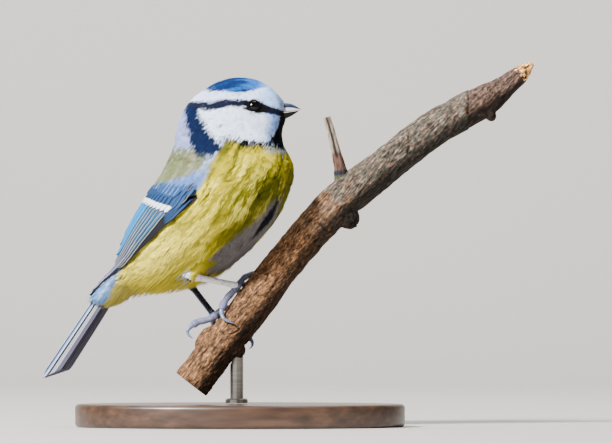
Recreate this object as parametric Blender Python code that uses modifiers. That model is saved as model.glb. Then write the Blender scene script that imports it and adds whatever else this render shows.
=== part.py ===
"""Blue tit gripping a broken branch, a life-size still model on a small display stand.

Sizes below are in millimetres and become metres in the meshes. The bird looks along +X, its right side
faces -Y, +Z is up, and the origin is the centre of the base's underside.
"""

import math

import bmesh
import bpy
import numpy as np
from mathutils import Matrix, Vector

MM = 0.001
GAP = 0.3
BODY_CLEARANCE = 0.38

# Body
# The head looks along +X and the trunk is turned towards -Y about the upright line through the neck.
NECK_X = -1.0
NECK_Y = -9.0
TRUNK_TURN = 30.0
ROUNDNESS = 2.25
# Sections from the bill to the root of the tail: how far ahead of the neck and how high the back edge is,
# the same for the front edge, half the width, and the turn in degrees.
SECTIONS = (
    (14.5, 98.2, 14.5, 93.2, 2.5, 0.0),
    (12.8, 100.4, 14.1, 91.2, 4.6, 0.0),
    (9.5, 103.8, 13.7, 88.8, 6.4, 0.0),
    (4.0, 105.8, 13.9, 86.7, 8.0, 0.0),
    (-2.6, 105.7, 14.3, 85.0, 9.2, 0.0),
    (-9.0, 102.9, 15.1, 83.6, 10.2, 0.0),
    (-14.8, 97.9, 16.1, 81.8, 11.2, 6.0),
    (-17.9, 91.8, 17.3, 78.5, 12.6, 15.0),
    (-19.2, 85.8, 16.9, 73.9, 14.4, 24.0),
    (-21.7, 80.0, 14.7, 69.0, 16.0, TRUNK_TURN),
    (-25.7, 73.5, 10.4, 62.5, 17.4, TRUNK_TURN),
    (-30.3, 67.1, 3.7, 55.8, 17.8, TRUNK_TURN),
    (-34.6, 60.2, -4.4, 49.4, 17.0, TRUNK_TURN),
    (-38.2, 54.2, -14.0, 44.8, 14.2, TRUNK_TURN),
    (-41.9, 49.0, -25.2, 42.9, 10.3, TRUNK_TURN),
    (-45.7, 45.0, -34.4, 42.0, 7.0, TRUNK_TURN),
    (-49.2, 41.2, -41.2, 38.4, 5.0, TRUNK_TURN),
)
TAIL_END = len(SECTIONS) - 1
SECTION_LENGTH = 5.0
RINGS_PER_SECTION = 2
HALF_RING = 12
# Where the trunk is parted, as places along the sections.
HEAD_END = 5.6
NECK_END = 7.6
TORSO_END = 12.6
# The plumage is pressed in by this much under the folded wings.
WING_BED = 1.4

# Eyes and bill
EYE_PLACE = 3.75
EYE_ANGLE = 82.8
EYE_RADIUS = 2.1
EYE_OPENING = 1.45
LID_THICKNESS = 0.4
LID_OUTSIDE = 0.6
LID_OVAL = 1.1
LID_STEPS = 20
LID_SIDES = 6
BILL_BASE_X = 13.8
BILL_TIP_X = 18.25
BILL_TOP_Z = 97.9
BILL_TIP_Z = 95.9
MOUTH_Z = 95.2
BILL_UNDER_Z = 93.5
BILL_HALF_WIDTH = 2.1
LOWER_TIP_BACK = 0.7
MOUTH_GAP = 0.32
BILL_TIP_HEIGHT = 0.13
# How full the bill stays before it narrows: along its top, its underside and its sides.
BILL_TOP_CURVE = 1.7
BILL_UNDER_CURVE = 1.4
BILL_SIDE_CURVE = 1.25
BILL_PARTS = (0.0, 0.2, 0.4, 0.6, 0.78, 0.92, 1.0)
BILL_ARCH = (0, 22, 50, 90, 130, 158, 180)
NOSTRIL_RADIUS = 0.33
NOSTRIL_AHEAD = 0.75
NOSTRIL_APART = 1.4
NOSTRIL_HEIGHT = 1.95

# Wings, laid out along the sections (place) and round them (angle in degrees from the back)
# Line where the back feathers cover the wing: angle, place.
SCAPULAR_LINE = ((0.0, 10.5), (16.0, 10.45), (56.0, 9.6), (77.0, 9.0), (86.0, 8.25), (100.0, 8.1))
# Lower and upper edges of the folded wing: place, angle.
WING_EDGE = (
    (8.2, 95.0), (9.6, 92.0), (10.4, 91.0), (11.2, 85.0), (12.1, 81.0), (13.3, 75.0),
    (14.6, 60.0), (16.3, 44.0),
)
WING_TOP = (
    (8.2, 86.0), (8.9, 77.0), (9.5, 56.0), (10.2, 26.0), (11.6, 26.0), (12.4, 30.0), (13.4, 36.0),
    (14.6, 44.0),
    (16.3, 41.0),
)
# The plate that carries the vanes: its places, columns across it, lift, thickness and inset from the edges.
PLATE_PLACES = (8.35, 8.9, 9.5, 10.2, 11.2, 12.2, 13.2, 14.5)
PLATE_COLUMNS = 5
PLATE_LIFT = -0.1
PLATE_DEPTH = 1.1
PLATE_INSET = 2.5
VANE_RISE = 0.42

# Rows of vanes, from the lowest: count, places of the first and last root, their angles, places of the first
# and last tip, their angles, half the width, lift off the bed, more lift at the tip, thickness, steps, bend.
FEATHERS = (
    (5, (10.2, 9.9), (78, 88), (13.9, 16.1), (62, 42), 1.5, -0.1, 0.4, 0.6, 5, 0.0),
    (4, (10.1, 10.2), (56, 76), (13.5, 13.5), (49, 65), 1.8, 0.1, 0.0, 0.9, 3, 0.0),
    (3, (10.2, 10.1), (27, 47), (12.2, 13.2), (27, 42), 2.7, 0.25, 0.0, 1.0, 3, 0.12),
    (3, (9.5, 9.8), (83, 89), (10.8, 11.2), (82, 86), 1.3, 0.3, 0.0, 1.2, 3, 0.0),
    (2, (8.8, 9.0), (87, 92), (9.9, 10.1), (88, 92), 1.2, 0.45, 0.0, 1.3, 3, 0.0),
    (6, (9.7, 9.1), (26, 80), (10.8, 10.65), (26, 79), 2.1, 0.5, 0.0, 1.3, 3, 0.0),
    (5, (9.55, 8.55), (36, 83), (10.1, 9.75), (36, 83), 2.4, 0.75, 0.0, 1.5, 3, 0.0),
)
# A vane starts at this share of its width and narrows to a round tip over its last quarter.
VANE_ROOT_WIDTH = 0.55
VANE_ROOT_SINK = 0.9
VANE_TIP_START = 0.75
VANE_TIP_WIDTH = 0.22

# Tail
TAIL_SLOPE = 62.0
TAIL_ROOT = (-48.6, 41.4)
TAIL_TIP = (-67.5, 14.1)
# The tail's fleshy root: share of its length and share of the rump's section at each ring.
STUB_RINGS = ((0.0, 0.86), (0.35, 0.72), (0.7, 0.5), (1.0, 0.22))
TAIL_STUB_LENGTH = 9.0
TAIL_STUB_SINK = 1.2
RECTRICES = 6
RECTRIX_SPACING = 0.98
RECTRIX_HALF_WIDTH = 1.85
RECTRIX_RISE = 0.3
RECTRIX_CAMBER = 0.12
RECTRIX_THICKNESS = 0.55
RECTRIX_STEPS = 5
RECTRIX_START = 0.9
# Each vane lies this much under the one nearer the middle, and the two sides meet a little unevenly.
RECTRIX_STACK = 0.07
SIDE_OFFSET = 0.09
# The middle pair is shorter, and each vane ends this much before the last.
MIDDLE_SHORTER = 1.2
RECTRIX_STAGGER = 0.25
TAIL_ROOT_WIDTH = 0.5
TAIL_TIP_NARROWING = 0.55

# Legs and feet
THIGH_RADIUS = 4.3
THIGH_ROUNDING = 3.0
THIGH_GAP = 0.4
THIGH_TAPER = 7.5
ANKLE_RADIUS = 1.3
TARSUS_RADIUS = 0.95
ANKLE_SWELLING = 0.42
FOOT_SWELLING = 0.2
FOOT_RADIUS = 1.25
TOE_RADIUS = 0.82
TOE_PADS = 0.07
PAD_LENGTH = 3.4
CLAW_RADIUS = 0.62
CLAW_TIP_RADIUS = 0.1
STUB_LENGTH = 2.8
TOE_GAP = 0.5

# Branch
# Stations from the sawn foot to the broken end: x, z, radius.
BRANCH_LINE = (
    (-14.8, 13.0, 5.65), (-9.2, 20.2, 5.6), (-3.3, 27.9, 5.75), (2.5, 35.4, 5.75), (8.2, 42.6, 5.75),
    (13.9, 49.8, 5.7), (19.4, 56.8, 5.6), (25.0, 63.3, 5.75), (30.8, 68.8, 5.9), (36.7, 73.5, 5.7),
    (43.5, 78.9, 5.5), (51.3, 84.9, 5.4), (59.4, 90.5, 5.35), (66.6, 94.9, 5.3), (73.6, 98.8, 4.8),
    (78.6, 101.9, 3.8), (82.6, 104.9, 3.1), (85.7, 107.5, 2.3), (88.6, 110.2, 0.9),
)
BRANCH_SIDES = 14
BARK_RELIEF = 0.035
# Side twig: centre and radius at its points.
TWIG_LINE = (
    (31.6, 0.0, 71.0, 2.2), (30.9, -0.2, 75.5, 2.0), (30.0, -0.6, 80.0, 1.6), (28.6, -1.0, 85.5, 1.3),
    (27.3, -1.2, 90.5, 1.2), (26.2, -1.3, 93.9, 1.15),
)
# Knots: station along the branch, angle round it (0 is the upper left side, 90 faces the viewer), height,
# half the length along the branch.
KNOTS = (
    (1.5, 6.0, 1.7, 4.2), (1.75, 176.0, 1.6, 2.6), (7.75, 172.0, 3.0, 4.4), (14.0, 176.0, 1.9, 2.2),
    (3.75, 70.0, 0.6, 5.0), (10.3, 40.0, 0.7, 3.2),
)
KNOT_ROOT = 0.5
KNOT_WIDTH = 0.55
STATION_LENGTH = 9.3

# Stand
BASE_LENGTH = 100.0
BASE_WIDTH = 64.0
BASE_HEIGHT = 7.0
BASE_ROUNDING = 1.2
ROD_X = -1.0
ROD_RADIUS = 2.0
COLLAR_RADIUS = 3.4
COLLAR_HEIGHT = 1.4
ROD_TOP = 27.0
SADDLE_GAP = 0.35

COLOURS = {
    "cap_plumage": ((0.05, 0.17, 0.44), 0.85, 0.0),
    "neck_plumage": ((0.12, 0.17, 0.25), 0.85, 0.0),
    "breast_plumage": ((0.62, 0.52, 0.14), 0.85, 0.0),
    "rump_plumage": ((0.55, 0.52, 0.28), 0.85, 0.0),
    "wing_feather": ((0.16, 0.36, 0.52), 0.6, 0.0),
    "tail_feather": ((0.18, 0.26, 0.40), 0.6, 0.0),
    "eye": ((0.012, 0.008, 0.007), 0.08, 0.0),
    "bill": ((0.05, 0.05, 0.06), 0.35, 0.0),
    "leg_skin": ((0.12, 0.15, 0.22), 0.5, 0.0),
    "claw": ((0.16, 0.17, 0.22), 0.35, 0.0),
    "bark": ((0.19, 0.12, 0.07), 0.9, 0.0),
    "stand_wood": ((0.45, 0.34, 0.22), 0.45, 0.0),
    "stand_metal": ((0.6, 0.58, 0.54), 0.3, 1.0),
}


# Scene helpers
def clear_scene():
    for obj in list(bpy.data.objects):
        bpy.data.objects.remove(obj)


def material(name):
    found = bpy.data.materials.get(name)
    if found:
        return found
    colour, roughness, metallic = COLOURS[name]
    made = bpy.data.materials.new(name)
    made.use_nodes = True
    shader = made.node_tree.nodes["Principled BSDF"]
    shader.inputs["Base Color"].default_value = (*colour, 1.0)
    shader.inputs["Roughness"].default_value = roughness
    shader.inputs["Metallic"].default_value = metallic
    return made


def collection(name):
    made = bpy.data.collections.new(name)
    bpy.context.scene.collection.children.link(made)
    return made


def mesh_object(name, bm, finish, home):
    """A new object from a bmesh in millimetres, linked to the given collection."""
    bmesh.ops.scale(bm, vec=(MM, MM, MM), verts=bm.verts)
    bmesh.ops.recalc_face_normals(bm, faces=bm.faces)
    mesh = bpy.data.meshes.new(name)
    bm.to_mesh(mesh)
    bm.free()
    mesh.materials.append(material(finish))
    mesh.shade_smooth()
    mesh.set_sharp_from_angle(angle=math.radians(40))
    obj = bpy.data.objects.new(name, mesh)
    home.objects.link(obj)
    return obj


def evaluated_mesh(obj):
    bpy.context.view_layer.update()
    graph = bpy.context.evaluated_depsgraph_get()
    return bpy.data.meshes.new_from_object(obj.evaluated_get(graph))


def largest_piece(bm):
    """Deletes all but the closed surface with the most volume."""
    left = set(bm.faces)
    pieces = []
    while left:
        piece = {left.pop()}
        edge_of_piece = list(piece)
        while edge_of_piece:
            face = edge_of_piece.pop()
            for edge in face.edges:
                for near in edge.link_faces:
                    if near in left:
                        left.remove(near)
                        piece.add(near)
                        edge_of_piece.append(near)
        pieces.append(piece)

    def volume(piece):
        corners = [[v.co for v in face.verts] for face in piece]
        return sum(
            c[0].dot(c[i].cross(c[i + 1])) for c in corners for i in range(1, len(c) - 1)
        )

    pieces.sort(key=volume, reverse=True)
    loose = [face for piece in pieces[1:] for face in piece]
    if loose:
        bmesh.ops.delete(bm, geom=loose, context="FACES")
        stray = [v for v in bm.verts if not v.link_faces]
        bmesh.ops.delete(bm, geom=stray, context="VERTS")


def settle(obj):
    """Applies the object's modifiers and keeps its largest closed surface."""
    mesh = evaluated_mesh(obj)
    obj.modifiers.clear()
    bm = bmesh.new()
    bm.from_mesh(mesh)
    bmesh.ops.triangulate(bm, faces=bm.faces)
    largest_piece(bm)
    bm.to_mesh(mesh)
    bm.free()
    obj.data = mesh
    return obj


def boolean(obj, other, operation, solver="MANIFOLD"):
    modifier = obj.modifiers.new(operation.lower(), "BOOLEAN")
    modifier.operation = operation
    modifier.solver = solver
    if isinstance(other, bpy.types.Collection):
        modifier.operand_type = "COLLECTION"
        modifier.collection = other
    else:
        modifier.object = other
    settle(obj)


def united(first, rest, name):
    """One Boolean union of the first object with the others, which are then removed."""
    group = collection(name + "_pieces")
    for obj in rest:
        for home in list(obj.users_collection):
            home.objects.unlink(obj)
        group.objects.link(obj)
    boolean(first, group, "UNION")
    for obj in list(group.objects):
        bpy.data.objects.remove(obj)
    bpy.data.collections.remove(group)
    return first


def curve_tube(name, points, radii, finish, home, resolution=2):
    """A mesh tube through the points, with its own radius at each one."""
    curve = bpy.data.curves.new(name, "CURVE")
    curve.dimensions = "3D"
    curve.bevel_depth = MM
    curve.bevel_resolution = resolution
    curve.use_fill_caps = True
    spline = curve.splines.new("POLY")
    spline.points.add(len(points) - 1)
    for target, point, radius in zip(spline.points, points, radii):
        target.co = (*(Vector(point) * MM), 1.0)
        target.radius = radius
    guide = bpy.data.objects.new(name + "_curve", curve)
    bpy.context.scene.collection.objects.link(guide)
    mesh = evaluated_mesh(guide)
    place = guide.matrix_world.copy()
    bpy.data.objects.remove(guide)
    bm = bmesh.new()
    bm.from_mesh(mesh)
    bmesh.ops.remove_doubles(bm, verts=bm.verts, dist=1e-6)
    bmesh.ops.transform(bm, matrix=place, verts=bm.verts)
    bmesh.ops.scale(bm, vec=(1 / MM, 1 / MM, 1 / MM), verts=bm.verts)
    bpy.data.meshes.remove(mesh)
    return mesh_object(name, bm, finish, home)


def loft(rings):
    """A closed bmesh through rings of equally many points, with flat ends."""
    bm = bmesh.new()
    rows = [[bm.verts.new(point) for point in ring] for ring in rings]
    count = len(rows[0])
    for lower, upper in zip(rows, rows[1:]):
        for i in range(count):
            j = (i + 1) % count
            bm.faces.new((lower[i], lower[j], upper[j], upper[i]))
    bm.faces.new(rows[0])
    bm.faces.new(rows[-1])
    bmesh.ops.triangulate(bm, faces=bm.faces)
    return bm


def between(value, low, high):
    """Smooth step from 0 at low to 1 at high."""
    part = min(max((value - low) / (high - low), 0.0), 1.0)
    return part * part * (3.0 - 2.0 * part)


def line_value(line, at):
    return float(np.interp(at, [x for x, _ in line], [y for _, y in line]))


# Shape of the body
def section(place):
    """The section's six numbers at any place along the body, on a smooth curve through the rows."""
    rows = np.array(SECTIONS)
    last = len(rows) - 1
    i = min(max(int(place), 0), last - 1)
    u = place - i
    before = rows[i - 1] if i > 0 else 2 * rows[0] - rows[1]
    after = rows[i + 2] if i + 2 <= last else 2 * rows[last] - rows[last - 1]
    a, b = rows[i], rows[i + 1]
    return 0.5 * (
        2 * a
        + (b - before) * u
        + (2 * before - 5 * a + 4 * b - after) * u * u
        + (3 * a - before - 3 * b + after) * u**3
    )


def in_world(ahead, left, height, turn):
    """From ahead, left and up of the bird to the model's own axes."""
    c, s = math.cos(math.radians(turn)), math.sin(math.radians(turn))
    return Vector((NECK_X + ahead * c + left * s, NECK_Y - ahead * s + left * c, height))


def outline_point(place, angle, side):
    """A point of the plumage's outline: angle 0 is the back, 180 the belly, side 1 is the bird's left."""
    back_a, back_z, front_a, front_z, half_width, turn = section(place)
    c, s = math.cos(math.radians(angle)), math.sin(math.radians(angle))
    along = math.copysign(abs(c) ** (2 / ROUNDNESS), c)
    across = abs(s) ** (2 / ROUNDNESS)
    ahead = (back_a + front_a) / 2 + (back_a - front_a) / 2 * along
    height = (back_z + front_z) / 2 + (back_z - front_z) / 2 * along
    return in_world(ahead, side * half_width * across, height, turn)


def outward(place, angle, side):
    along = outline_point(place + 0.1, angle, side) - outline_point(place - 0.1, angle, side)
    before, after = (outline_point(place, at, side) for at in (max(angle - 2, 0), min(angle + 2, 180)))
    round_it = after - before
    return (along.cross(round_it) * -side).normalized()


def bed(place, angle):
    """How far the plumage is pressed in under a folded wing."""
    start = line_value(SCAPULAR_LINE, angle)
    low = line_value(WING_EDGE, place)
    return (
        WING_BED
        * between(place, start - 0.5, start + 0.3)
        * (1 - between(angle, low + 1, low + 11))
    )


def plumage_point(place, angle, side, lift=0.0):
    return outline_point(place, angle, side) + outward(place, angle, side) * lift


def body_ring(place, lift):
    angles = [180 * i / HALF_RING for i in range(HALF_RING + 1)]
    left = [plumage_point(place, a, 1, lift - bed(place, a)) for a in angles]
    right = [plumage_point(place, a, -1, lift - bed(place, a)) for a in angles]
    return left + right[-2:0:-1]


def body_bmesh(lift=0.0):
    """The whole body as one closed form, or a copy that stands off by the lift, also past the tail's root."""
    steps = TAIL_END * RINGS_PER_SECTION
    places = [TAIL_END * i / steps for i in range(steps + 1)]
    if lift:
        places[-1] += lift / SECTION_LENGTH
    return loft([body_ring(place, lift) for place in places])


def cut_plane(place):
    """A point and a normal, towards the tail, of the plane of the section at this place."""
    back_a, back_z, front_a, front_z, _, turn = section(place)
    back = in_world(back_a, 0, back_z, turn)
    front = in_world(front_a, 0, front_z, turn)
    left = in_world(0, 1, 0, turn) - in_world(0, 0, 0, turn)
    return (back + front) / 2, (front - back).cross(left).normalized() * -1


def parted(bm, plane, keep):
    """Cuts a closed bmesh by a plane and closes the cut. keep is 1 for the side the normal points to."""
    point, normal = plane
    shifted = point + normal * (GAP / 2 * keep)
    cut = bmesh.ops.bisect_plane(
        bm,
        geom=bm.verts[:] + bm.edges[:] + bm.faces[:],
        plane_co=shifted,
        plane_no=normal,
        clear_inner=keep > 0,
        clear_outer=keep < 0,
    )
    rim = [e for e in cut["geom_cut"] if isinstance(e, bmesh.types.BMEdge)]
    bmesh.ops.edgeloop_fill(bm, edges=rim)
    bmesh.ops.triangulate(bm, faces=bm.faces)
    return bm


def make_body(home):
    """Head, neck, torso and rump: one form, parted by thin flat cuts."""
    spans = (
        ("head", None, HEAD_END, "cap_plumage"),
        ("neck", HEAD_END, NECK_END, "neck_plumage"),
        ("torso", NECK_END, TORSO_END, "breast_plumage"),
        ("rump", TORSO_END, None, "rump_plumage"),
    )
    made = {}
    for name, start, end, finish in spans:
        bm = body_bmesh()
        if start is not None:
            parted(bm, cut_plane(start), 1)
        if end is not None:
            parted(bm, cut_plane(end), -1)
        made[name] = mesh_object(name, bm, finish, home)
    return made


# Head
def facing(point, normal):
    """A placement whose Z axis is the normal and whose X axis is level."""
    z = normal.normalized()
    x = Vector((0, 0, 1)).cross(z).normalized()
    y = z.cross(x)
    turn = Matrix((x, y, z)).transposed().to_4x4()
    return Matrix.Translation(point) @ turn


def lid_ring():
    """A closed oval ring round the eye's opening, with its axis along Z."""
    bm = bmesh.new()
    sections = []
    for i in range(LID_STEPS):
        turn = 2 * math.pi * i / LID_STEPS
        out = Vector((math.cos(turn), math.sin(turn), 0))
        middle = Vector((out.x * LID_OVAL, out.y, 0)) * (EYE_OPENING + LID_OUTSIDE)
        rolls = [2 * math.pi * k / LID_SIDES for k in range(LID_SIDES)]
        sections.append([
            bm.verts.new(middle + (out * math.cos(roll) + Vector((0, 0, math.sin(roll)))) * LID_THICKNESS)
            for roll in rolls
        ])
    for i in range(LID_STEPS):
        a, b = sections[i], sections[(i + 1) % LID_STEPS]
        for k in range(LID_SIDES):
            m = (k + 1) % LID_SIDES
            bm.faces.new((a[k], b[k], b[m], a[m]))
    bmesh.ops.triangulate(bm, faces=bm.faces)
    return bm


def ball(name, radius, place, finish, home, segments=16, rings=10):
    bm = bmesh.new()
    bmesh.ops.create_uvsphere(bm, u_segments=segments, v_segments=rings, radius=radius)
    bmesh.ops.transform(bm, matrix=place, verts=bm.verts)
    return mesh_object(name, bm, finish, home)


def make_eyes(head, home, tools):
    """Both eyes, each in a socket of the head with a ring of lids round it."""
    depth = math.sqrt(EYE_RADIUS**2 - EYE_OPENING**2)
    for side, name in ((1, "eye_left"), (-1, "eye_right")):
        place = facing(plumage_point(EYE_PLACE, EYE_ANGLE, side), outward(EYE_PLACE, EYE_ANGLE, side))
        lids = lid_ring()
        bmesh.ops.transform(lids, matrix=place, verts=lids.verts)
        united(head, [mesh_object("lids", lids, "eye", tools)], "lids")
        middle = place @ Matrix.Translation((0, 0, -depth))
        socket = ball("socket", EYE_RADIUS + GAP, middle, "eye", tools)
        boolean(head, socket, "DIFFERENCE")
        bpy.data.objects.remove(socket)
        ball(name, EYE_RADIUS, middle, "eye", home)


def bill_half(base_z, tip_x, curve, direction):
    """Half a bill as a loft of arches on the mouth line: direction 1 is the upper half."""
    rings = []
    for part in BILL_PARTS:
        x = BILL_BASE_X + (tip_x - BILL_BASE_X) * part
        mouth = MOUTH_Z + (BILL_TIP_Z - MOUTH_Z) * part + direction * MOUTH_GAP / 2
        height = max(abs(base_z - MOUTH_Z) * (1 - part**curve), BILL_TIP_HEIGHT)
        width = max(BILL_HALF_WIDTH * (1 - part**BILL_SIDE_CURVE), BILL_TIP_HEIGHT)
        rings.append([
            Vector((x, NECK_Y + width * math.cos(t), mouth + direction * height * math.sin(t)))
            for t in (math.radians(angle) for angle in BILL_ARCH)
        ])
    return loft(rings)


def make_bill(home, tools):
    upper = mesh_object("upper_bill", bill_half(BILL_TOP_Z, BILL_TIP_X, BILL_TOP_CURVE, 1), "bill", home)
    for side in (1, -1):
        spot = (BILL_BASE_X + NOSTRIL_AHEAD, NECK_Y + side * NOSTRIL_APART, MOUTH_Z + NOSTRIL_HEIGHT)
        pit = ball("nostril", NOSTRIL_RADIUS, Matrix.Translation(spot), "bill", tools, 8, 6)
        boolean(upper, pit, "DIFFERENCE")
        bpy.data.objects.remove(pit)
    lower_tip = BILL_TIP_X - LOWER_TIP_BACK
    mesh_object("lower_bill", bill_half(BILL_UNDER_Z, lower_tip, BILL_UNDER_CURVE, -1), "bill", home)


# Wings
def vane_surface(rows):
    """An open surface through rows of points, all split the same way."""
    bm = bmesh.new()
    grid = [[bm.verts.new(point) for point in row] for row in rows]
    for a, b in zip(grid, grid[1:]):
        for i in range(len(a) - 1):
            bm.faces.new((a[i], a[i + 1], b[i + 1], b[i]))
    bmesh.ops.triangulate(bm, faces=bm.faces)
    return bm


def thickened(bm, outside, thickness):
    """Gives an open surface its thickness on the side away from the outside direction."""
    bmesh.ops.recalc_face_normals(bm, faces=bm.faces)
    bm.normal_update()
    total = sum((f.normal * f.calc_area() for f in bm.faces), Vector())
    if total.dot(outside) < 0:
        bmesh.ops.reverse_faces(bm, faces=bm.faces)
    bm.normal_update()
    bmesh.ops.solidify(bm, geom=bm.faces[:], thickness=thickness)
    return bm


def wing_plate(name, side, places, lift, depth, inset, home):
    """A plate over the whole folded wing, from its upper edge to its lower one."""
    rows = []
    for place in places:
        top = line_value(WING_TOP, place) + inset
        low = max(line_value(WING_EDGE, place) - inset, top + 1.0)
        rows.append([plumage_point(place, angle, side, lift) for angle in spread(top, low, PLATE_COLUMNS)])
    bm = vane_surface(rows)
    thickened(bm, outward(10.5, 60, side), depth)
    return mesh_object(name, bm, "wing_feather", home)


def wing_vane(side, root, tip, half_width, lift, tip_lift, thickness, steps, camber, home):
    """A vane on the folded wing, from root to tip, each a place and an angle."""
    across = (-1.0, 0.0, 1.0) if camber else (-1.0, 1.0)
    rows = []
    for i in range(steps + 1):
        part = i / steps
        place = root[0] + (tip[0] - root[0]) * part
        angle = root[1] + (tip[1] - root[1]) * part
        width = half_width * min(VANE_ROOT_WIDTH + 1.4 * part, 1.0)
        if part > VANE_TIP_START:
            beyond = (part - VANE_TIP_START) / (1 - VANE_TIP_START)
            width *= VANE_TIP_WIDTH + (1 - VANE_TIP_WIDTH) * math.sqrt(1 - beyond**2)
        two_degrees = outline_point(place, angle + 1, side) - outline_point(place, angle - 1, side)
        per_degree = two_degrees.length / 2
        raised = lift + tip_lift * part**3 - VANE_ROOT_SINK * (1 - part) ** 4
        rows.append([
            plumage_point(
                place, angle + c * width / per_degree, side, raised + VANE_RISE * c + camber * (1 - abs(c))
            )
            for c in across
        ])
    bm = vane_surface(rows)
    thickened(bm, outward((root[0] + tip[0]) / 2, (root[1] + tip[1]) / 2, side), thickness)
    return mesh_object("vane", bm, "wing_feather", home)


def spread(first, last, count):
    return [first + (last - first) * i / (count - 1) for i in range(count)]


def make_wing(side, name, home, tools, body_cutter):
    """A folded wing: a plate with tertials, secondaries, primaries and their coverts on it."""
    wing = wing_plate(name, side, PLATE_PLACES, PLATE_LIFT, PLATE_DEPTH, PLATE_INSET, home)
    vanes = []
    for count, root_places, root_angles, tip_places, tip_angles, *form in FEATHERS:
        roots = zip(spread(*root_places, count), spread(*root_angles, count))
        tips = zip(spread(*tip_places, count), spread(*tip_angles, count))
        vanes += [wing_vane(side, root, tip, *form, tools) for root, tip in zip(roots, tips)]
    united(wing, vanes, name)
    boolean(wing, body_cutter, "DIFFERENCE")


# Tail
def tail_axes():
    """Root point, direction to the tip, length, the bird's left, and up from the tail's ridge."""
    root = in_world(TAIL_ROOT[0], 0, TAIL_ROOT[1], TRUNK_TURN)
    tip = in_world(TAIL_TIP[0], 0, TAIL_TIP[1], TRUNK_TURN)
    along = (tip - root).normalized()
    left = in_world(0, 1, 0, TRUNK_TURN) - in_world(0, 0, 0, TRUNK_TURN)
    return root, along, (tip - root).length, left, left.cross(along).normalized()


def tail_stub(name, along, top, home):
    """The tail's fleshy root, from the rump's last section to a narrow end under the ridge."""
    _, away = cut_plane(TAIL_END)
    sides = [(1, i) for i in range(7)] + [(-1, i) for i in range(5, 0, -1)]
    base = [outline_point(TAIL_END, 30 * i, side) for side, i in sides]
    back = outline_point(TAIL_END, 0, 1)
    heart = back.lerp(outline_point(TAIL_END, 180, 1), 0.55)
    upper = back - top * TAIL_STUB_SINK
    rings = []
    for part, size in STUB_RINGS:
        centre = heart.lerp(upper, part) + along * (part * TAIL_STUB_LENGTH)
        if part == 0:
            centre += away * GAP
        rings.append([centre + (point - heart) * size for point in base])
    return mesh_object(name, loft(rings), "tail_feather", home)


def rectrix(side, number, axes, home):
    """One vane of the tail: number 0 is in the middle."""
    root, along, length, left, top = axes
    slope = math.radians(TAIL_SLOPE)
    down_slope = left * (side * math.cos(slope)) - top * math.sin(slope)
    face = top * math.cos(slope) + left * (side * math.sin(slope))
    middle = RECTRIX_HALF_WIDTH - 0.25 + RECTRIX_SPACING * number
    reach = length - MIDDLE_SHORTER * (1 - between(number, 0, 3)) - RECTRIX_STAGGER * number
    stack = SIDE_OFFSET * side - RECTRIX_STACK * number
    rows = []
    for k in range(RECTRIX_STEPS + 1):
        part = k / RECTRIX_STEPS
        fan = TAIL_ROOT_WIDTH + (1 - TAIL_ROOT_WIDTH) * part**0.7
        width = RECTRIX_HALF_WIDTH * (TAIL_TIP_NARROWING if part == 1 else 1.0)
        start = root + along * (RECTRIX_START + (reach - RECTRIX_START) * part)
        rows.append([
            start
            + down_slope * ((middle + c * width) * fan)
            + face * (RECTRIX_RISE * c + RECTRIX_CAMBER * (1 - abs(c)) + stack)
            for c in (-1.0, 0.0, 1.0)
        ])
    bm = vane_surface(rows)
    thickened(bm, top, RECTRIX_THICKNESS)
    return mesh_object("rectrix", bm, "tail_feather", home)


def make_tail(home, tools, body_cutter):
    """The root of the tail, and six pairs of vanes laid like a low roof, the middle pair on top."""
    axes = tail_axes()
    tail = tail_stub("tail", axes[1], axes[4], home)
    vanes = [rectrix(side, number, axes, tools) for side in (1, -1) for number in range(RECTRICES)]
    united(tail, vanes, "tail")
    boolean(tail, body_cutter, "DIFFERENCE")


# Branch
def branch_station(station):
    """Centre, radius and direction at any place along the branch, counted in its own points."""
    rows = np.array(BRANCH_LINE)
    last = len(rows) - 1
    i = min(max(int(station), 0), last - 1)
    u = station - i
    before = rows[i - 1] if i > 0 else 2 * rows[0] - rows[1]
    after = rows[i + 2] if i + 2 <= last else 2 * rows[last] - rows[last - 1]
    a, b = rows[i], rows[i + 1]
    value = 0.5 * (
        2 * a + (b - before) * u + (2 * before - 5 * a + 4 * b - after) * u * u
        + (3 * a - before - 3 * b + after) * u**3
    )
    slope = (b - before) * (1 - u) + (after - a) * u
    along = Vector((slope[0], 0, slope[1])).normalized()
    return Vector((value[0], 0, value[1])), value[2], along


def branch_point(station, angle, lift=0.0):
    """A point by the bark: angle 0 is the upper left side, 90 faces -Y."""
    centre, radius, along = branch_station(station)
    up = Vector((-along.z, 0, along.x))
    t = math.radians(angle)
    reach = radius * (1 + bark_relief(station, angle)) + lift
    return centre + (up * math.cos(t) - Vector((0, 1, 0)) * math.sin(t)) * reach


def bark_relief(station, angle):
    t = math.radians(angle)
    return BARK_RELIEF * (
        math.sin(3 * t + 1.7 * station)
        + 0.7 * math.sin(5 * t - 0.9 * station)
        + 0.6 * math.sin(2.3 * station)
    )


def branch_bmesh(lift=0.0):
    steps = 2 * (len(BRANCH_LINE) - 1)
    rings = []
    for i in range(steps + 1):
        rings.append([
            branch_point(i / 2, 360 * k / BRANCH_SIDES, lift) for k in range(BRANCH_SIDES)
        ])
    return loft(rings)


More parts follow.
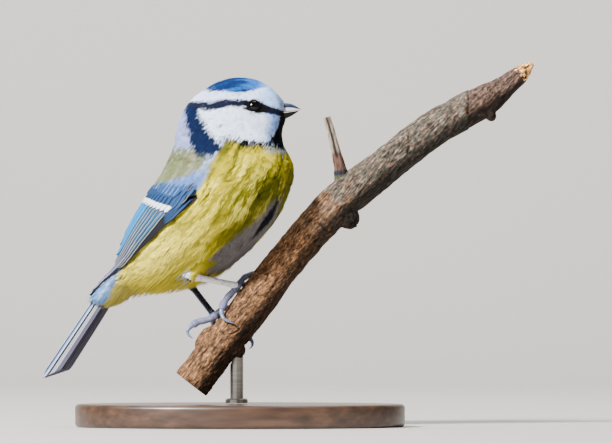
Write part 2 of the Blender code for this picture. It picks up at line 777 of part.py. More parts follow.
def branch_form(name, lift, home, tools):
    """The branch with its knots, or a copy of it that stands off by the lift."""
    branch = mesh_object(name, branch_bmesh(lift), "bark", home)
    knots = []
    for station, angle, height, reach in KNOTS:
        centre, radius, along = branch_station(station)
        axis = (branch_point(station, angle) - centre).normalized()
        sunk = KNOT_ROOT * radius
        turn = Matrix((along, axis.cross(along), axis)).transposed().to_4x4()
        size = Matrix.Diagonal((reach + lift, radius * KNOT_WIDTH + lift, height + sunk + lift, 1.0))
        place = Matrix.Translation(centre + axis * (radius - sunk)) @ turn @ size
        knots.append(ball("knot", 1.0, place, "bark", tools, 10, 6))
    return united(branch, knots, name)


def make_branch(home, tools):
    """The branch, and its side twig seated on it with a thin gap."""
    branch_form("branch", 0.0, home, tools)
    twig = curve_tube("twig", [p[:3] for p in TWIG_LINE], [p[3] for p in TWIG_LINE], "bark", home)
    seat = branch_form("seat", GAP, tools, tools)
    boolean(twig, seat, "DIFFERENCE")
    bpy.data.objects.remove(seat)


# Legs
def smooth_path(points, count):
    """Evenly spaced points on a smooth curve through the given ones."""
    p = [Vector(q) for q in points]
    p = [p[0] * 2 - p[1]] + p + [p[-1] * 2 - p[-2]]
    fine = []
    for i in range(1, len(p) - 2):
        for k in range(12):
            u = k / 12
            fine.append(
                0.5 * (2 * p[i] + (p[i + 1] - p[i - 1]) * u
                       + (2 * p[i - 1] - 5 * p[i] + 4 * p[i + 1] - p[i + 2]) * u * u
                       + (3 * p[i] - p[i - 1] - 3 * p[i + 1] + p[i + 2]) * u**3)
            )
    fine.append(p[-2])
    lengths = np.concatenate([[0.0], np.cumsum([(b - a).length for a, b in zip(fine, fine[1:])])])
    wanted = np.linspace(0, lengths[-1], count)
    table = np.array([tuple(q) for q in fine])
    columns = [np.interp(wanted, lengths, table[:, k]) for k in range(3)]
    return [Vector(q) for q in zip(*columns)], lengths[-1]


def strand(name, path, start, end, radius_at, spacing, finish, home, resolution=2):
    """A tube along part of a path, between two lengths from its beginning."""
    points, total = smooth_path(path, 200)
    count = max(int(round((end - start) / spacing)) + 1, 3)
    places = [start + (end - start) * i / (count - 1) for i in range(count)]
    chosen = [points[min(int(round(s / total * 199)), 199)] for s in places]
    return curve_tube(name, chosen, [radius_at(s) for s in places], finish, home, resolution)


# Each leg: knee and ankle, where it stands on the branch (station, angle), and its toes. A toe is its
# name, its points as (mm along the branch from the foot, angle, lift over the bark), and its claw's length.
LEGS = {
    "right": {
        "knee": (-8.2, -9.6, 55.5),
        "ankle": (-15.0, -11.2, 45.9),
        "stand": (3.42, 12.0),
        "toes": (
            ("hallux", ((-2.2, 16.0, 1.7), (-5.0, 21.0, 2.2), (-7.4, 29.0, 2.2), (-9.2, 37.0, 1.8),
                        (-10.2, 52.0, 1.4), (-10.0, 68.0, 0.9), (-9.4, 84.0, 0.5)), 6.8),
            ("toe_2", ((-1.0, -24.0, 1.2), (-2.0, -56.0, 1.2), (-2.6, -88.0, 1.2), (-3.0, -112.0, 0.9),
                       (-3.2, -128.0, 0.4)), 4.4),
            ("toe_3", ((1.3, -24.0, 1.2), (1.9, -54.0, 1.2), (2.3, -86.0, 1.2), (2.4, -114.0, 1.1),
                       (2.0, -138.0, 0.4)), 4.8),
            ("toe_4", ((3.4, -8.0, 1.2), (6.0, -36.0, 1.2), (7.6, -62.0, 1.2), (8.2, -88.0, 1.0),
                       (8.2, -104.0, 0.4)), 4.4),
        ),
    },
    "left": {
        "knee": (-11.2, 8.0, 54.0),
        "ankle": (-15.6, 10.8, 43.7),
        "stand": (2.2, -8.0),
        "toes": (
            ("hallux", ((-2.0, -2.0, 2.4), (-4.4, 2.0, 4.4), (-6.6, 5.0, 5.2), (-8.1, 7.0, 5.2),
                        (-8.9, 9.0, 4.3), (-9.0, 11.0, 2.9), (-8.6, 13.0, 2.2)), 5.6),
            ("toe_2", ((2.4, -15.0, 1.2), (4.0, -37.0, 1.2), (4.8, -64.0, 1.2), (5.0, -88.0, 1.0),
                       (4.8, -106.0, 0.4)), 4.4),
            ("toe_3", ((0.8, -42.0, 1.2), (1.2, -84.0, 1.2), (1.0, -124.0, 1.2), (0.8, -148.0, 2.0),
                       (-0.4, -160.0, 2.2), (-1.8, -166.0, 1.6)), 5.4),
            ("toe_4", ((-2.0, -34.0, 1.2), (-3.4, -66.0, 1.2), (-3.8, -98.0, 1.1),
                       (-3.6, -124.0, 0.4)), 4.4),
        ),
    },
}


def thigh_form(name, knee, bend, lift, home):
    """The feathered shank, round at the knee and narrow at the ankle, or a copy lifted off it."""
    reach = (knee - bend).length

    def radius_at(s):
        taper = between(reach - s, -0.5, THIGH_TAPER)
        before = max(THIGH_ROUNDING - s, 0.0) / THIGH_ROUNDING
        knee_end = math.sqrt(max(1 - before**2, 0.05))
        return (ANKLE_RADIUS + (THIGH_RADIUS - ANKLE_RADIUS) * taper) * knee_end + lift

    away = (knee - bend).normalized() * lift
    path = [knee + away, (knee + bend) / 2, bend - away]
    return strand(name, path, 0.0, reach + 2 * lift, radius_at, 1.2, "rump_plumage", home)


def make_thigh(side_name, knee, ankle, body, home, tools):
    """The thigh, set in pockets of the torso and rump. Returns the pocket's form."""
    bend = ankle + (knee - ankle).normalized() * ANKLE_RADIUS
    thigh_form("thigh_" + side_name, knee, bend, 0.0, home)
    pocket = thigh_form("pocket", knee, bend, THIGH_GAP, tools)
    for name in ("torso", "rump"):
        boolean(body[name], pocket, "DIFFERENCE")
    return pocket


def make_tarsus(side_name, ankle, pad, cutters, home):
    path = [ankle, ankle.lerp(pad, 0.12), pad]
    _, length = smooth_path(path, 50)

    def radius_at(s):
        part = s / length
        heel = ANKLE_SWELLING * math.exp(-(((part - 0.1) / 0.09) ** 2))
        return TARSUS_RADIUS * (1.0 + heel + FOOT_SWELLING * between(part, 0.8, 1.0))

    end = length - FOOT_RADIUS - 2 * GAP
    tarsus = strand("tarsus_" + side_name, path, 0.0, end, radius_at, 1.7, "leg_skin", home)
    for cutter in cutters:
        boolean(tarsus, cutter, "DIFFERENCE")


def make_toe(name, path, claw_length, home, tools):
    """A toe and its claw as two strands. Returns the stub that joins the foot."""
    _, total = smooth_path(path, 50)
    claw_root = total - claw_length

    def toe_radius(s):
        return TOE_RADIUS * (1.0 - 0.12 * s / claw_root + TOE_PADS * math.sin(s * 2 * math.pi / PAD_LENGTH))

    def claw_radius(s):
        part = (s - claw_root) / claw_length
        return CLAW_TIP_RADIUS + (CLAW_RADIUS - CLAW_TIP_RADIUS) * max(1 - part, 0.0) ** 0.8

    toe, _, side_name = name.partition(" ")
    strand(f"{toe}_{side_name}", path, STUB_LENGTH + TOE_GAP, claw_root, toe_radius, 1.1, "leg_skin", home)
    strand(f"{toe}_claw_{side_name}", path, claw_root + TOE_GAP, total, claw_radius, 0.8, "claw", home, 1)
    return strand("stub", path, 0.0, STUB_LENGTH, toe_radius, 0.95, "leg_skin", tools)


def make_leg(side_name, home, tools, body, body_cutter):
    leg = LEGS[side_name]
    knee, ankle = Vector(leg["knee"]), Vector(leg["ankle"])
    station, angle = leg["stand"]
    pad = branch_point(station, angle, FOOT_RADIUS + GAP)
    pocket = make_thigh(side_name, knee, ankle, body, home, tools)
    make_tarsus(side_name, ankle, pad, (body_cutter, pocket), home)
    bpy.data.objects.remove(pocket)
    foot = ball("foot_" + side_name, FOOT_RADIUS, Matrix.Translation(pad), "leg_skin", home, 12, 8)
    stubs = []
    for toe, places, claw_length in leg["toes"]:
        path = [pad] + [branch_point(station + mm / STATION_LENGTH, turn, lift) for mm, turn, lift in places]
        stubs.append(make_toe(f"{toe} {side_name}", path, claw_length, home, tools))
    united(foot, stubs, "foot")


# Stand
def make_stand(home, tools):
    bpy.ops.mesh.primitive_cylinder_add(vertices=48, radius=0.5, depth=1.0)
    base = bpy.context.active_object
    base.name = "stand_base"
    base.data.transform(Matrix.Diagonal((BASE_LENGTH * MM, BASE_WIDTH * MM, BASE_HEIGHT * MM, 1.0)))
    base.data.transform(Matrix.Translation((0, 0, BASE_HEIGHT / 2 * MM)))
    base.data.materials.append(material("stand_wood"))
    rounding = base.modifiers.new("rounding", "BEVEL")
    rounding.width = BASE_ROUNDING * MM
    rounding.segments = 2
    rounding.angle_limit = math.radians(50)
    base.data.shade_smooth()
    for old in list(base.users_collection):
        old.objects.unlink(base)
    home.objects.link(base)

    foot = BASE_HEIGHT + GAP
    profile = (
        (0.0, ROD_TOP), (ROD_RADIUS, ROD_TOP), (ROD_RADIUS, foot + COLLAR_HEIGHT),
        (COLLAR_RADIUS - 0.4, foot + COLLAR_HEIGHT), (COLLAR_RADIUS, foot + COLLAR_HEIGHT - 0.4),
        (COLLAR_RADIUS, foot), (0.0, foot),
    )
    mesh = bpy.data.meshes.new("stand_rod")
    mesh.from_pydata(
        [(r * MM, 0, z * MM) for r, z in profile], [(i, i + 1) for i in range(len(profile) - 1)], []
    )
    mesh.materials.append(material("stand_metal"))
    rod = bpy.data.objects.new("stand_rod", mesh)
    home.objects.link(rod)
    turned = rod.modifiers.new("turned", "SCREW")
    turned.steps = 20
    turned.render_steps = 20
    turned.use_merge_vertices = True
    turned.merge_threshold = 0.00001
    settle(rod)
    rod.data.transform(Matrix.Translation((ROD_X * MM, 0, 0)))
    saddle = branch_form("saddle", SADDLE_GAP, tools, tools)
    boolean(rod, saddle, "DIFFERENCE")
    bpy.data.objects.remove(saddle)


def main():
    clear_scene()
    home = collection("blue_tit")
    tools = collection("tools")
    body = make_body(home)
    make_eyes(body["head"], home, tools)
    make_bill(home, tools)
    body_cutter = mesh_object("body_cutter", body_bmesh(BODY_CLEARANCE), "leg_skin", tools)
    for side, name in ((1, "wing_left"), (-1, "wing_right")):
        make_wing(side, name, home, tools, body_cutter)
    make_tail(home, tools, body_cutter)
    make_branch(home, tools)
    for side_name in LEGS:
        make_leg(side_name, home, tools, body, body_cutter)
    bpy.data.objects.remove(body_cutter)
    make_stand(home, tools)


main()
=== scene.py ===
"""A blue tit on a weathered branch: plumage, vanes, bark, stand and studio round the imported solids."""

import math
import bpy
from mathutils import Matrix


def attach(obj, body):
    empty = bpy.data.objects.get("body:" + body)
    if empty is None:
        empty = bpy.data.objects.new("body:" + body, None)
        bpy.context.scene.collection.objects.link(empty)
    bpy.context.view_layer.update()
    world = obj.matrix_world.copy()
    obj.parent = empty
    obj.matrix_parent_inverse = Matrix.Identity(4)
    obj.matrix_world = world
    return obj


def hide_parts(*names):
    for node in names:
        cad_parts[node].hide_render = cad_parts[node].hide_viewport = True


bl_info = {
    "name": "Blue Tit on a Branch",
    "version": (1, 0, 0),
    "blender": (4, 5, 0),
    "location": "View3D > Sidebar > Blue Tit",
    "description": "Dresses the solids of a life-size blue tit with feathers, bark and a plain studio",
    "category": "Add Mesh",
}

import bmesh
import bpy
import numpy as np
from bpy.props import FloatProperty, FloatVectorProperty, IntProperty, PointerProperty
from mathutils import Vector, noise

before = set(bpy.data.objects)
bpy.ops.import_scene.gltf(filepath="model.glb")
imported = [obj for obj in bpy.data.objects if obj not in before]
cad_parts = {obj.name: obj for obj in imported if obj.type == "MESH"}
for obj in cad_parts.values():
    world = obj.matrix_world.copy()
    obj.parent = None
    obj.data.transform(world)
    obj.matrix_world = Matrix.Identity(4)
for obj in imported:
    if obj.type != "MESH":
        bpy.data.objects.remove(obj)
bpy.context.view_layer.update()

MM = 0.001

SIDES = ((1, "left"), (-1, "right"))

# The bird's own sizes, in millimetres, as in its solids: the neck, the turn of the trunk, and how square it is.
NECK_X = -1.0
NECK_Y = -9.0
TRUNK_TURN = 30.0
ROUNDNESS = 2.25
# Back edge ahead and up, front edge ahead and up, half width, turn.
SECTIONS = (
    (14.5, 98.2, 14.5, 93.2, 2.5, 0), (12.8, 100.4, 14.1, 91.2, 4.6, 0), (9.5, 103.8, 13.7, 88.8, 6.4, 0),
    (4.0, 105.8, 13.9, 86.7, 8.0, 0), (-2.6, 105.7, 14.3, 85.0, 9.2, 0), (-9.0, 102.9, 15.1, 83.6, 10.2, 0),
    (-14.8, 97.9, 16.1, 81.8, 11.2, 6), (-17.9, 91.8, 17.3, 78.5, 12.6, 15), (-19.2, 85.8, 16.9, 73.9, 14.4, 24),
    (-21.7, 80.0, 14.7, 69.0, 16.0, 30), (-25.7, 73.5, 10.4, 62.5, 17.4, 30), (-30.3, 67.1, 3.7, 55.8, 17.8, 30),
    (-34.6, 60.2, -4.4, 49.4, 17.0, 30), (-38.2, 54.2, -14.0, 44.8, 14.2, 30), (-41.9, 49.0, -25.2, 42.9, 10.3, 30),
    (-45.7, 45.0, -34.4, 42.0, 7.0, 30), (-49.2, 41.2, -41.2, 38.4, 5.0, 30),
)
TAIL_END = len(SECTIONS) - 1
EYE_PLACE = 3.75
EYE_ANGLE = 82.8
EYE_CLEARING = 1.75
# The ring of lids: how far out it lies, its half length and half height, its thickness and its beads.
LID_OUT = 1.42
LID_AHEAD = 1.68
LID_UP = 1.52
LID_RADIUS = 0.27
LID_BEADS = 26
# The bill: where it meets the face, the height of the mouth and how far that rises to the tip, and half its width.
BILL_BASE_X = 13.6
MOUTH_Z = 95.2
MOUTH_RISE = 0.7
BILL_HALF_WIDTH = 2.1
# Each half of the bill: highest or lowest point at the base, x of the tip, bend of the ridge, and 1 for the upper.
BILL_HALVES = (("upper_bill", 97.95, 18.65, 1.8, 1), ("lower_bill", 93.4, 18.0, 1.5, -1))
NOSTRIL = (14.7, 1.15, 96.75)
# Where the coverts begin on the mantle (angle, place), then the folded wing's lower and upper edges and the mantle's
# lower edge (place, angle), and how deep the folded wing lies in the plumage.
SCAPULAR_LINE = ((0.0, 10.5), (16.0, 10.45), (56.0, 9.6), (77.0, 9.0), (86.0, 8.3), (94.0, 8.4), (106.0, 9.4))
WING_EDGE = ((8.2, 95), (9.6, 92), (10.4, 91), (11.2, 85), (12.1, 81), (13.3, 75), (14.6, 60), (16.3, 44))
WING_TOP = ((8.2, 86), (8.9, 77), (9.5, 56), (10.2, 26), (11.6, 26), (12.4, 30), (13.4, 36), (14.6, 44), (16.3, 41))
MANTLE_EDGE = ((0, 60), (6.0, 78), (6.85, 84), (8.0, 91), (9.1, 94), (10.4, 86), (11, 80), (13, 66), (16, 50))
WING_BED = 1.4
# How deep the small feathers are and how long, by place, and how far their tips stay inside the outline.
COAT_SINK = 0.35
COAT_DEPTH = ((0, 0.3), (2, 0.45), (5, 0.7), (8, 0.95), (16, 0.9))
COAT_LENGTH = ((0, 1.1), (1.5, 1.5), (3.5, 2.0), (5.6, 2.8), (7.6, 3.8), (10, 4.8), (16, 5.0))

# The branch: x, z and radius.
BRANCH_LINE = (
    (-14.8, 13.0, 5.65), (-9.2, 20.2, 5.6), (-3.3, 27.9, 5.75), (2.5, 35.4, 5.75), (8.2, 42.6, 5.75),
    (13.9, 49.8, 5.7), (19.4, 56.8, 5.6), (25.0, 63.3, 5.75), (30.8, 68.8, 5.9), (36.7, 73.5, 5.7),
    (43.5, 78.9, 5.5), (51.3, 84.9, 5.4), (59.4, 90.5, 5.35), (66.6, 94.9, 5.3), (73.6, 98.8, 4.8),
    (78.6, 101.9, 3.8), (82.6, 104.9, 3.1), (85.7, 107.5, 2.3), (88.6, 110.2, 0.9),
)
BRANCH_END = len(BRANCH_LINE) - 1
# Where the bark ends in a scar, and cracks on the near side: x, y and half width in the photograph's pixels.
SCAR_X = 69.1
BARK_CRACKS = (
    ((230, 321.5, 0.5), (237, 327, 1.2), (239.5, 330, 0.5)), ((239, 330, 0.4), (233, 333.5, 0.9), (224, 334.5, 0.3)),
    ((211, 344, 0.3), (206.5, 349.5, 0.9), (202, 355, 1.0), (200, 362, 0.3)), ((195.5, 338.5, 1.0), (197.5, 341, 0.6)),
    ((262, 268, 0.3), (268, 274, 0.8), (266, 282, 0.3)), ((290, 262, 0.3), (281, 275, 0.6), (270, 290, 0.4)),
    ((222, 352, 0.3), (214, 362, 0.7), (206, 374, 0.4)), ((408, 134, 0.5), (409, 144, 0.9), (407.5, 155, 0.5)),
    ((468, 86, 0.4), (468.5, 100, 0.7), (467.5, 113, 1.3)), ((318, 222, 0.3), (324, 229, 0.8), (330, 233, 0.3)),
    ((372, 176, 0.3), (366, 186, 0.6), (357, 196, 0.4)), ((437, 118, 0.3), (430, 126, 0.6), (420, 133, 0.3)),
)
# How rough the bark is, how its fibres lean, and the colours of its blotches.
BARK_RELIEF = 0.035
BARK_LEAN = (0.0, math.radians(-50), 0.0)
BARK_RED = (118, 86, 74)
BARK_MOSS = (74, 73, 52)
# Knots: station and angle of the middle, height, and half length in millimetres. They spread evenly round the branch.
KNOTS = (
    (1.5, 6.0, 1.7, 4.2), (1.75, 176.0, 1.6, 2.6), (7.75, 172.0, 3.0, 4.4), (14.0, 176.0, 1.9, 2.2),
    (3.75, 70.0, 0.6, 5.0), (10.3, 40.0, 0.7, 3.2),
)
KNOT_SPREAD = 0.62
# Where the big knob with the ragged edge sits.
KNOB_STATION, KNOB_ANGLE = KNOTS[2][:2]
STATION_LENGTH = 9.3
# The side twig: x, y, z and radius, the heights and colours of its zones, and where round it the split runs.
TWIG_LINE = (
    (31.6, 0.0, 71.0, 2.2), (30.9, -0.2, 75.5, 2.0), (30.0, -0.6, 80.0, 1.6), (28.6, -1.0, 85.5, 1.3),
    (27.3, -1.2, 90.5, 1.2), (26.2, -1.3, 93.9, 1.15),
)
TWIG_HEIGHTS = ((0, 71), (0.5, 84), (1, 94))
# The dark zone from 77.6 to 78.6 is a painted shadow band across the twig.
TWIG_ZONES = (
    (70, (66, 70, 50)), (77, (66, 70, 50)), (77.6, (34, 33, 42)), (78.6, (34, 33, 42)), (79.4, (92, 66, 55)),
    (84.2, (92, 66, 55)), (85.2, (160, 145, 129)), (96, (160, 145, 129)),
)
SPLIT_TURN = 0.25

# The base: its length, width, height and rounding.
BASE_SIZE = (100, 64, 7)
BASE_ROUNDING = 1.2

# The floor: its front edge, its depth, the radius of its sweep, its whole length and its width.
FLOOR_FRONT = -1500.0
FLOOR_DEPTH = 2300.0
SWEEP_RADIUS = 400.0
FLOOR_LENGTH = 3400.0
FLOOR_WIDTH = 4000.0
# The lights: setting, size, place and aim, in metres.
LIGHTS = (
    ("key", 0.22, (-0.68, -0.85, 0.82), (0, 0, 0.06)),
    ("fill", 0.9, (0.9, -0.7, 0.35), (0, 0, 0.06)),
    ("backdrop", 0.8, (0, 0.3, 1.0), (0, 1.2, 0.1)),
)

# The view of the photograph: its size, its scale, and the point at its middle.
PHOTO_WIDTH = 612
PHOTO_HEIGHT = 443
PIXELS_PER_MM = 3.3
VIEW_X = 20.0
VIEW_Z = 62.3
CAMERA_DISTANCE = 3000.0
SENSOR_WIDTH = 36.0


def linear(red, green, blue):
    """A colour given by its screen values from 0 to 255, as linear light."""
    return tuple(((c / 255 + 0.055) / 1.055) ** 2.4 if c > 10 else c / 255 / 12.92 for c in (red, green, blue))


def over(under, colour, share):
    """A colour laid over others, each by its own share."""
    return under + (np.asarray(colour) - under) * share[:, None]


# ---------------------------------------------------------------- shapes of the body
def smooth(value, low, high):
    """Smooth step from 0 at low to 1 at high."""
    part = np.clip((value - low) / (high - low), 0.0, 1.0)
    return part * part * (3.0 - 2.0 * part)


def line_value(line, at):
    return np.interp(at, [x for x, _ in line], [y for _, y in line])


def curve_through(rows, at):
    """Values of a table at any places between its rows, on a smooth curve."""
    rows = np.asarray(rows, float)
    last = len(rows) - 1
    i = np.clip(at.astype(int), 0, last - 1)
    u = (at - i)[:, None]
    padded = np.vstack([2 * rows[0] - rows[1], rows, 2 * rows[last] - rows[last - 1]])
    before, a, b, after = padded[i], padded[i + 1], padded[i + 2], padded[i + 3]
    return 0.5 * (
        2 * a + (b - before) * u + (2 * before - 5 * a + 4 * b - after) * u**2
        + (3 * a - before - 3 * b + after) * u**3
    )


def swelling(at, middle, reach):
    """1 at the middle, and less the further off."""
    return np.exp(-(((at - middle) / reach) ** 2))


def unit(vectors):
    return vectors / np.maximum(np.linalg.norm(vectors, axis=1, keepdims=True), 1e-9)


def in_world(ahead, left, height, turn):
    """From ahead, left and up of the bird to the model's own axes."""
    c, s = np.cos(np.radians(turn)), np.sin(np.radians(turn))
    return np.stack([NECK_X + ahead * c + left * s, NECK_Y - ahead * s + left * c, height + 0 * c], axis=1)


def outline(place, girth):
    """Points of the plumage's outline: girth 0 is the back, 180 the belly, and it is positive on the bird's left."""
    back_a, back_z, front_a, front_z, half_width, turn = curve_through(SECTIONS, place).T
    c, s = np.cos(np.radians(girth)), np.sin(np.radians(girth))
    along = np.copysign(np.abs(c) ** (2 / ROUNDNESS), c)
    across = np.copysign(np.abs(s) ** (2 / ROUNDNESS), s)
    ahead = (back_a + front_a) / 2 + (back_a - front_a) / 2 * along
    height = (back_z + front_z) / 2 + (back_z - front_z) / 2 * along
    return in_world(ahead, half_width * across, height, turn)


def slopes(surface, place, girth):
    """How far a surface's point moves for each step along the place and round the girth, and the way out."""
    by_place = (surface(place + 0.05, girth) - surface(place - 0.05, girth)) / 0.1
    by_girth = (surface(place, girth + 1.5) - surface(place, girth - 1.5)) / 3.0
    return by_place, by_girth, unit(-np.cross(by_place, by_girth))


def body_lift(place, girth, lift):
    """A lift over the outline, less the bed that the folded wing presses into the plumage."""
    angle = np.abs((girth + 180) % 360 - 180)
    start, low = line_value(SCAPULAR_LINE, angle), line_value(WING_EDGE, place)
    bed = WING_BED * smooth(place, start - 0.5, start + 0.3) * (1 - smooth(angle, low + 1, low + 11))
    return lift - bed


def plumage(place, girth, lift=0.0):
    return outline(place, girth) + slopes(outline, place, girth)[2] * np.reshape(lift, (-1, 1))


# ---------------------------------------------------------------- markings
PLUMAGE_COLOURS = {
    "cap": ("Cap", (3, 34, 84)),
    "cap_streak": ("Cap streaks", (30, 88, 146)),
    "cap_front": ("Front of the cap", (32, 90, 166)),
    "forehead": ("Forehead", (168, 200, 250)),
    "brow": ("Brow", (206, 220, 252)),
    "eye_line": ("Line through the eye", (16, 20, 42)),
    "lores": ("Dark ring of the eye", (10, 9, 13)),
    "cheek": ("Cheek", (222, 234, 255)),
    "cheek_blue": ("Blue of the cheek", (98, 156, 240)),
    "collar": ("Collar", (6, 24, 58)),
    "bib": ("Bib", (2, 4, 14)),
    "nape": ("Nape patch", (146, 158, 202)),
    "mantle": ("Mantle", (106, 114, 76)),
    "mantle_pale": ("Mantle streaks", (136, 131, 116)),
    "breast": ("Breast", (184, 168, 18)),
    # The dark breast streaks also serve as painted shade: on the front of the breast, in the flank's fold and on the
    # thighs.
    "breast_shade": ("Breast streaks", (76, 78, 8)),
    "breast_light": ("Breast streaks, pale", (236, 222, 88)),
    "flank": ("Flanks", (248, 230, 92)),
    "vent": ("Vent and undertail", (216, 198, 52)),
    # The belly is white; this grey is painted shade.
    "belly": ("Belly in painted shade", (106, 101, 101)),
    "streak": ("Dark belly streak", (6, 8, 16)),
    "rump": ("Rump", (96, 112, 94)),
    "tail_base": ("Base of the tail", (90, 136, 190)),
    "lesser": ("Lesser coverts", (84, 120, 180)),
    "lesser_pale": ("Lesser covert streaks", (142, 158, 192)),
}

# Outlines on the near side of the bird, in the photograph's own pixels.
HEAD_AREA = (
    (165, 60), (305, 60), (305, 147), (284, 149), (272, 147.5), (260, 146), (250, 145), (242, 143), (234, 141.5),
    (226, 140), (221.5, 146), (213, 158), (204, 157), (196, 151), (172, 148), (160, 148),
)
CAP = (
    (206, 90), (213, 90.2), (224, 90.8), (236, 91.6), (246, 91.6), (252, 90), (259, 87.5), (268, 86),
    (266, 66), (205, 66), (200, 84),
)
CHEEK = (
    (196, 108), (200, 118), (206, 126), (212, 134), (218.6, 141.6), (224, 139.5), (232, 141), (242, 142.2),
    (254, 143.5), (264, 143.3), (272, 137), (277.5, 126), (279.5, 116), (272, 112), (258, 109), (240, 103),
    (211, 108),
)
NAPE = ((160, 105), (184, 104), (190, 113), (192, 122), (195, 134), (198, 147), (204, 158), (160, 158))
COLLAR = (
    (189, 101), (184.5, 107), (184, 112), (185, 122), (187.5, 134), (190.5, 145), (195, 153), (201, 157), (212, 156),
    (219, 151), (222.5, 147.5), (219, 143.5), (212, 136.5), (206, 128), (200, 119), (197, 112), (196.5, 104),
)
BIB = (
    (280, 113), (300, 111), (300, 150.5), (284, 149.5), (276, 147.5), (267, 146), (267.5, 142), (273, 136.5),
    (278, 126),
)
# Stripes: x, y and half width.
EYE_LINE = (
    (190, 103.8, 3.4), (199, 104.8, 4.3), (205.7, 106.0, 4.5), (211, 106.0, 4.3), (217, 104.6, 4.2),
    (223.6, 103.2, 4.0), (232.5, 102.5, 3.6), (238, 102.9, 3.9), (243, 103.6, 4.2), (248, 105, 4.8),
    (256, 106.8, 5.4), (264.6, 108.6, 4.6),
    (272, 110.5, 3.8), (280, 112.8, 3.3), (284, 114, 3.0),
)
EYE_SURROUND = ((248, 104.8, 5.0), (253.5, 105.8, 7.4), (259, 107.4, 6.6), (266, 109, 4.2))
# The frayed lower edge of the cheek.
CHEEK_EDGE = (
    (221.5, 138.4, 1.3), (228, 139.2, 1.4), (235, 141.4, 1.6), (240, 143.0, 2.8), (246, 144.0, 3.4), (254, 144.4, 3.4),
    (262, 145.0, 3.0), (268, 144.6, 2.8), (275, 144, 3.2),
)
THROAT_HAZE = ((266, 149, 1.0), (276, 150, 2.2), (287, 150, 2.2))
SHADED_BELLY_PATCH = (
    (277, 200), (268.7, 206), (249.5, 226), (231.7, 240), (215.3, 252.5), (203, 266), (205, 274), (219, 276),
    (242.7, 262), (270, 245), (290, 215),
)
# Where the flank's feathers fold over one another, with a painted shadow line in the fold, and a pale lock beside the
# fold.
FLANK_FOLD_SHADOW = ((217, 187, 0.3), (211, 193, 1.1), (205, 201, 1.2), (201, 209, 0.4))
FLANK_LOCK = ((203, 203, 0.6), (200, 212, 1.6), (199, 222, 0.8))
TAIL_BASE = ((121, 264), (116, 280), (107, 301), (95, 305), (80, 295), (100, 262))
ANKLE_TUFT = ((178, 274), (182, 271), (189, 271.5), (190, 279), (184, 281), (179, 279))
SHOULDER_LINE = ((214, 154, 1.6), (208, 162, 2.6), (201, 171, 3.0))
TAIL_BASE_EDGE = ((116, 271, 0.6), (108, 283, 1.0), (100, 297, 1.0))
BELLY_STREAK = (
    (277, 201, 0.6), (275.2, 206.5, 1.7), (268, 217, 2.6), (260, 229, 2.4), (247, 247, 1.6), (241, 254, 0.5),
)


def on_photo(points):
    """Where points of the model fall in the photograph, in its pixels."""
    nearer = CAMERA_DISTANCE / (CAMERA_DISTANCE + points[:, 1])
    across = PHOTO_WIDTH / 2 + PIXELS_PER_MM * (points[:, 0] - VIEW_X) * nearer
    down = PHOTO_HEIGHT / 2 - PIXELS_PER_MM * (points[:, 2] - VIEW_Z) * nearer
    return np.stack([across, down], axis=1)


def line_distance(spots, line):
    """Distance of each spot from a stripe's edge, negative inside it."""
    best = np.full(len(spots), 1e9)
    for (ax, ay, aw), (bx, by, bw) in zip(line, line[1:]):
        step = np.array([bx - ax, by - ay])
        part = np.clip((spots - (ax, ay)) @ step / (step @ step), 0, 1)
        away = np.linalg.norm(spots - ((ax, ay) + part[:, None] * step), axis=1) - (aw + (bw - aw) * part)
        best = np.minimum(best, away)
    return best


def within(spots, corners, softness=1.2):
    """1 inside an outline, 0 outside it, with a soft edge."""
    closed = [(x, y, 0.0) for x, y in corners]
    closed.append(closed[0])
    away = line_distance(spots, closed)
    inside = np.zeros(len(spots), bool)
    for (ax, ay, _), (bx, by, _) in zip(closed, closed[1:]):
        crosses = (ay > spots[:, 1]) != (by > spots[:, 1])
        if ay != by:
            inside ^= crosses & (spots[:, 0] < ax + (spots[:, 1] - ay) * (bx - ax) / (by - ay))
    return 1 - smooth(np.where(inside, -away, away), -softness, softness)


def striped(spots, line, softness=0.9):
    return 1 - smooth(line_distance(spots, line), -softness, softness)


STREAK_TABLE = np.random.default_rng(5).uniform(-1, 1, (64, 256))


def patchwork(across, along):
    """Soft random values over a plane, between -1 and 1."""
    column, row = np.floor(across).astype(int), np.floor(along).astype(int)
    u, v = smooth(across - column, 0, 1), smooth(along - row, 0, 1)
    corners = [STREAK_TABLE[(row + b) % 64, (column + a) % 256] for b in (0, 1) for a in (0, 1)]
    return (corners[0] * (1 - u) + corners[1] * u) * (1 - v) + (corners[2] * (1 - u) + corners[3] * u) * v


def streaks(place, girth):
    """Fine light and dark streaks that run with the lie of the feathers."""
    bend = girth + 5 * np.sin(0.8 * place)
    broad = patchwork(bend / 5.5 + 900, place / 1.1 + 50)
    fine = patchwork(bend / 2.3 + 900, place / 0.6 + 90)
    return np.clip(0.75 * broad + 0.75 * fine, -1, 1)


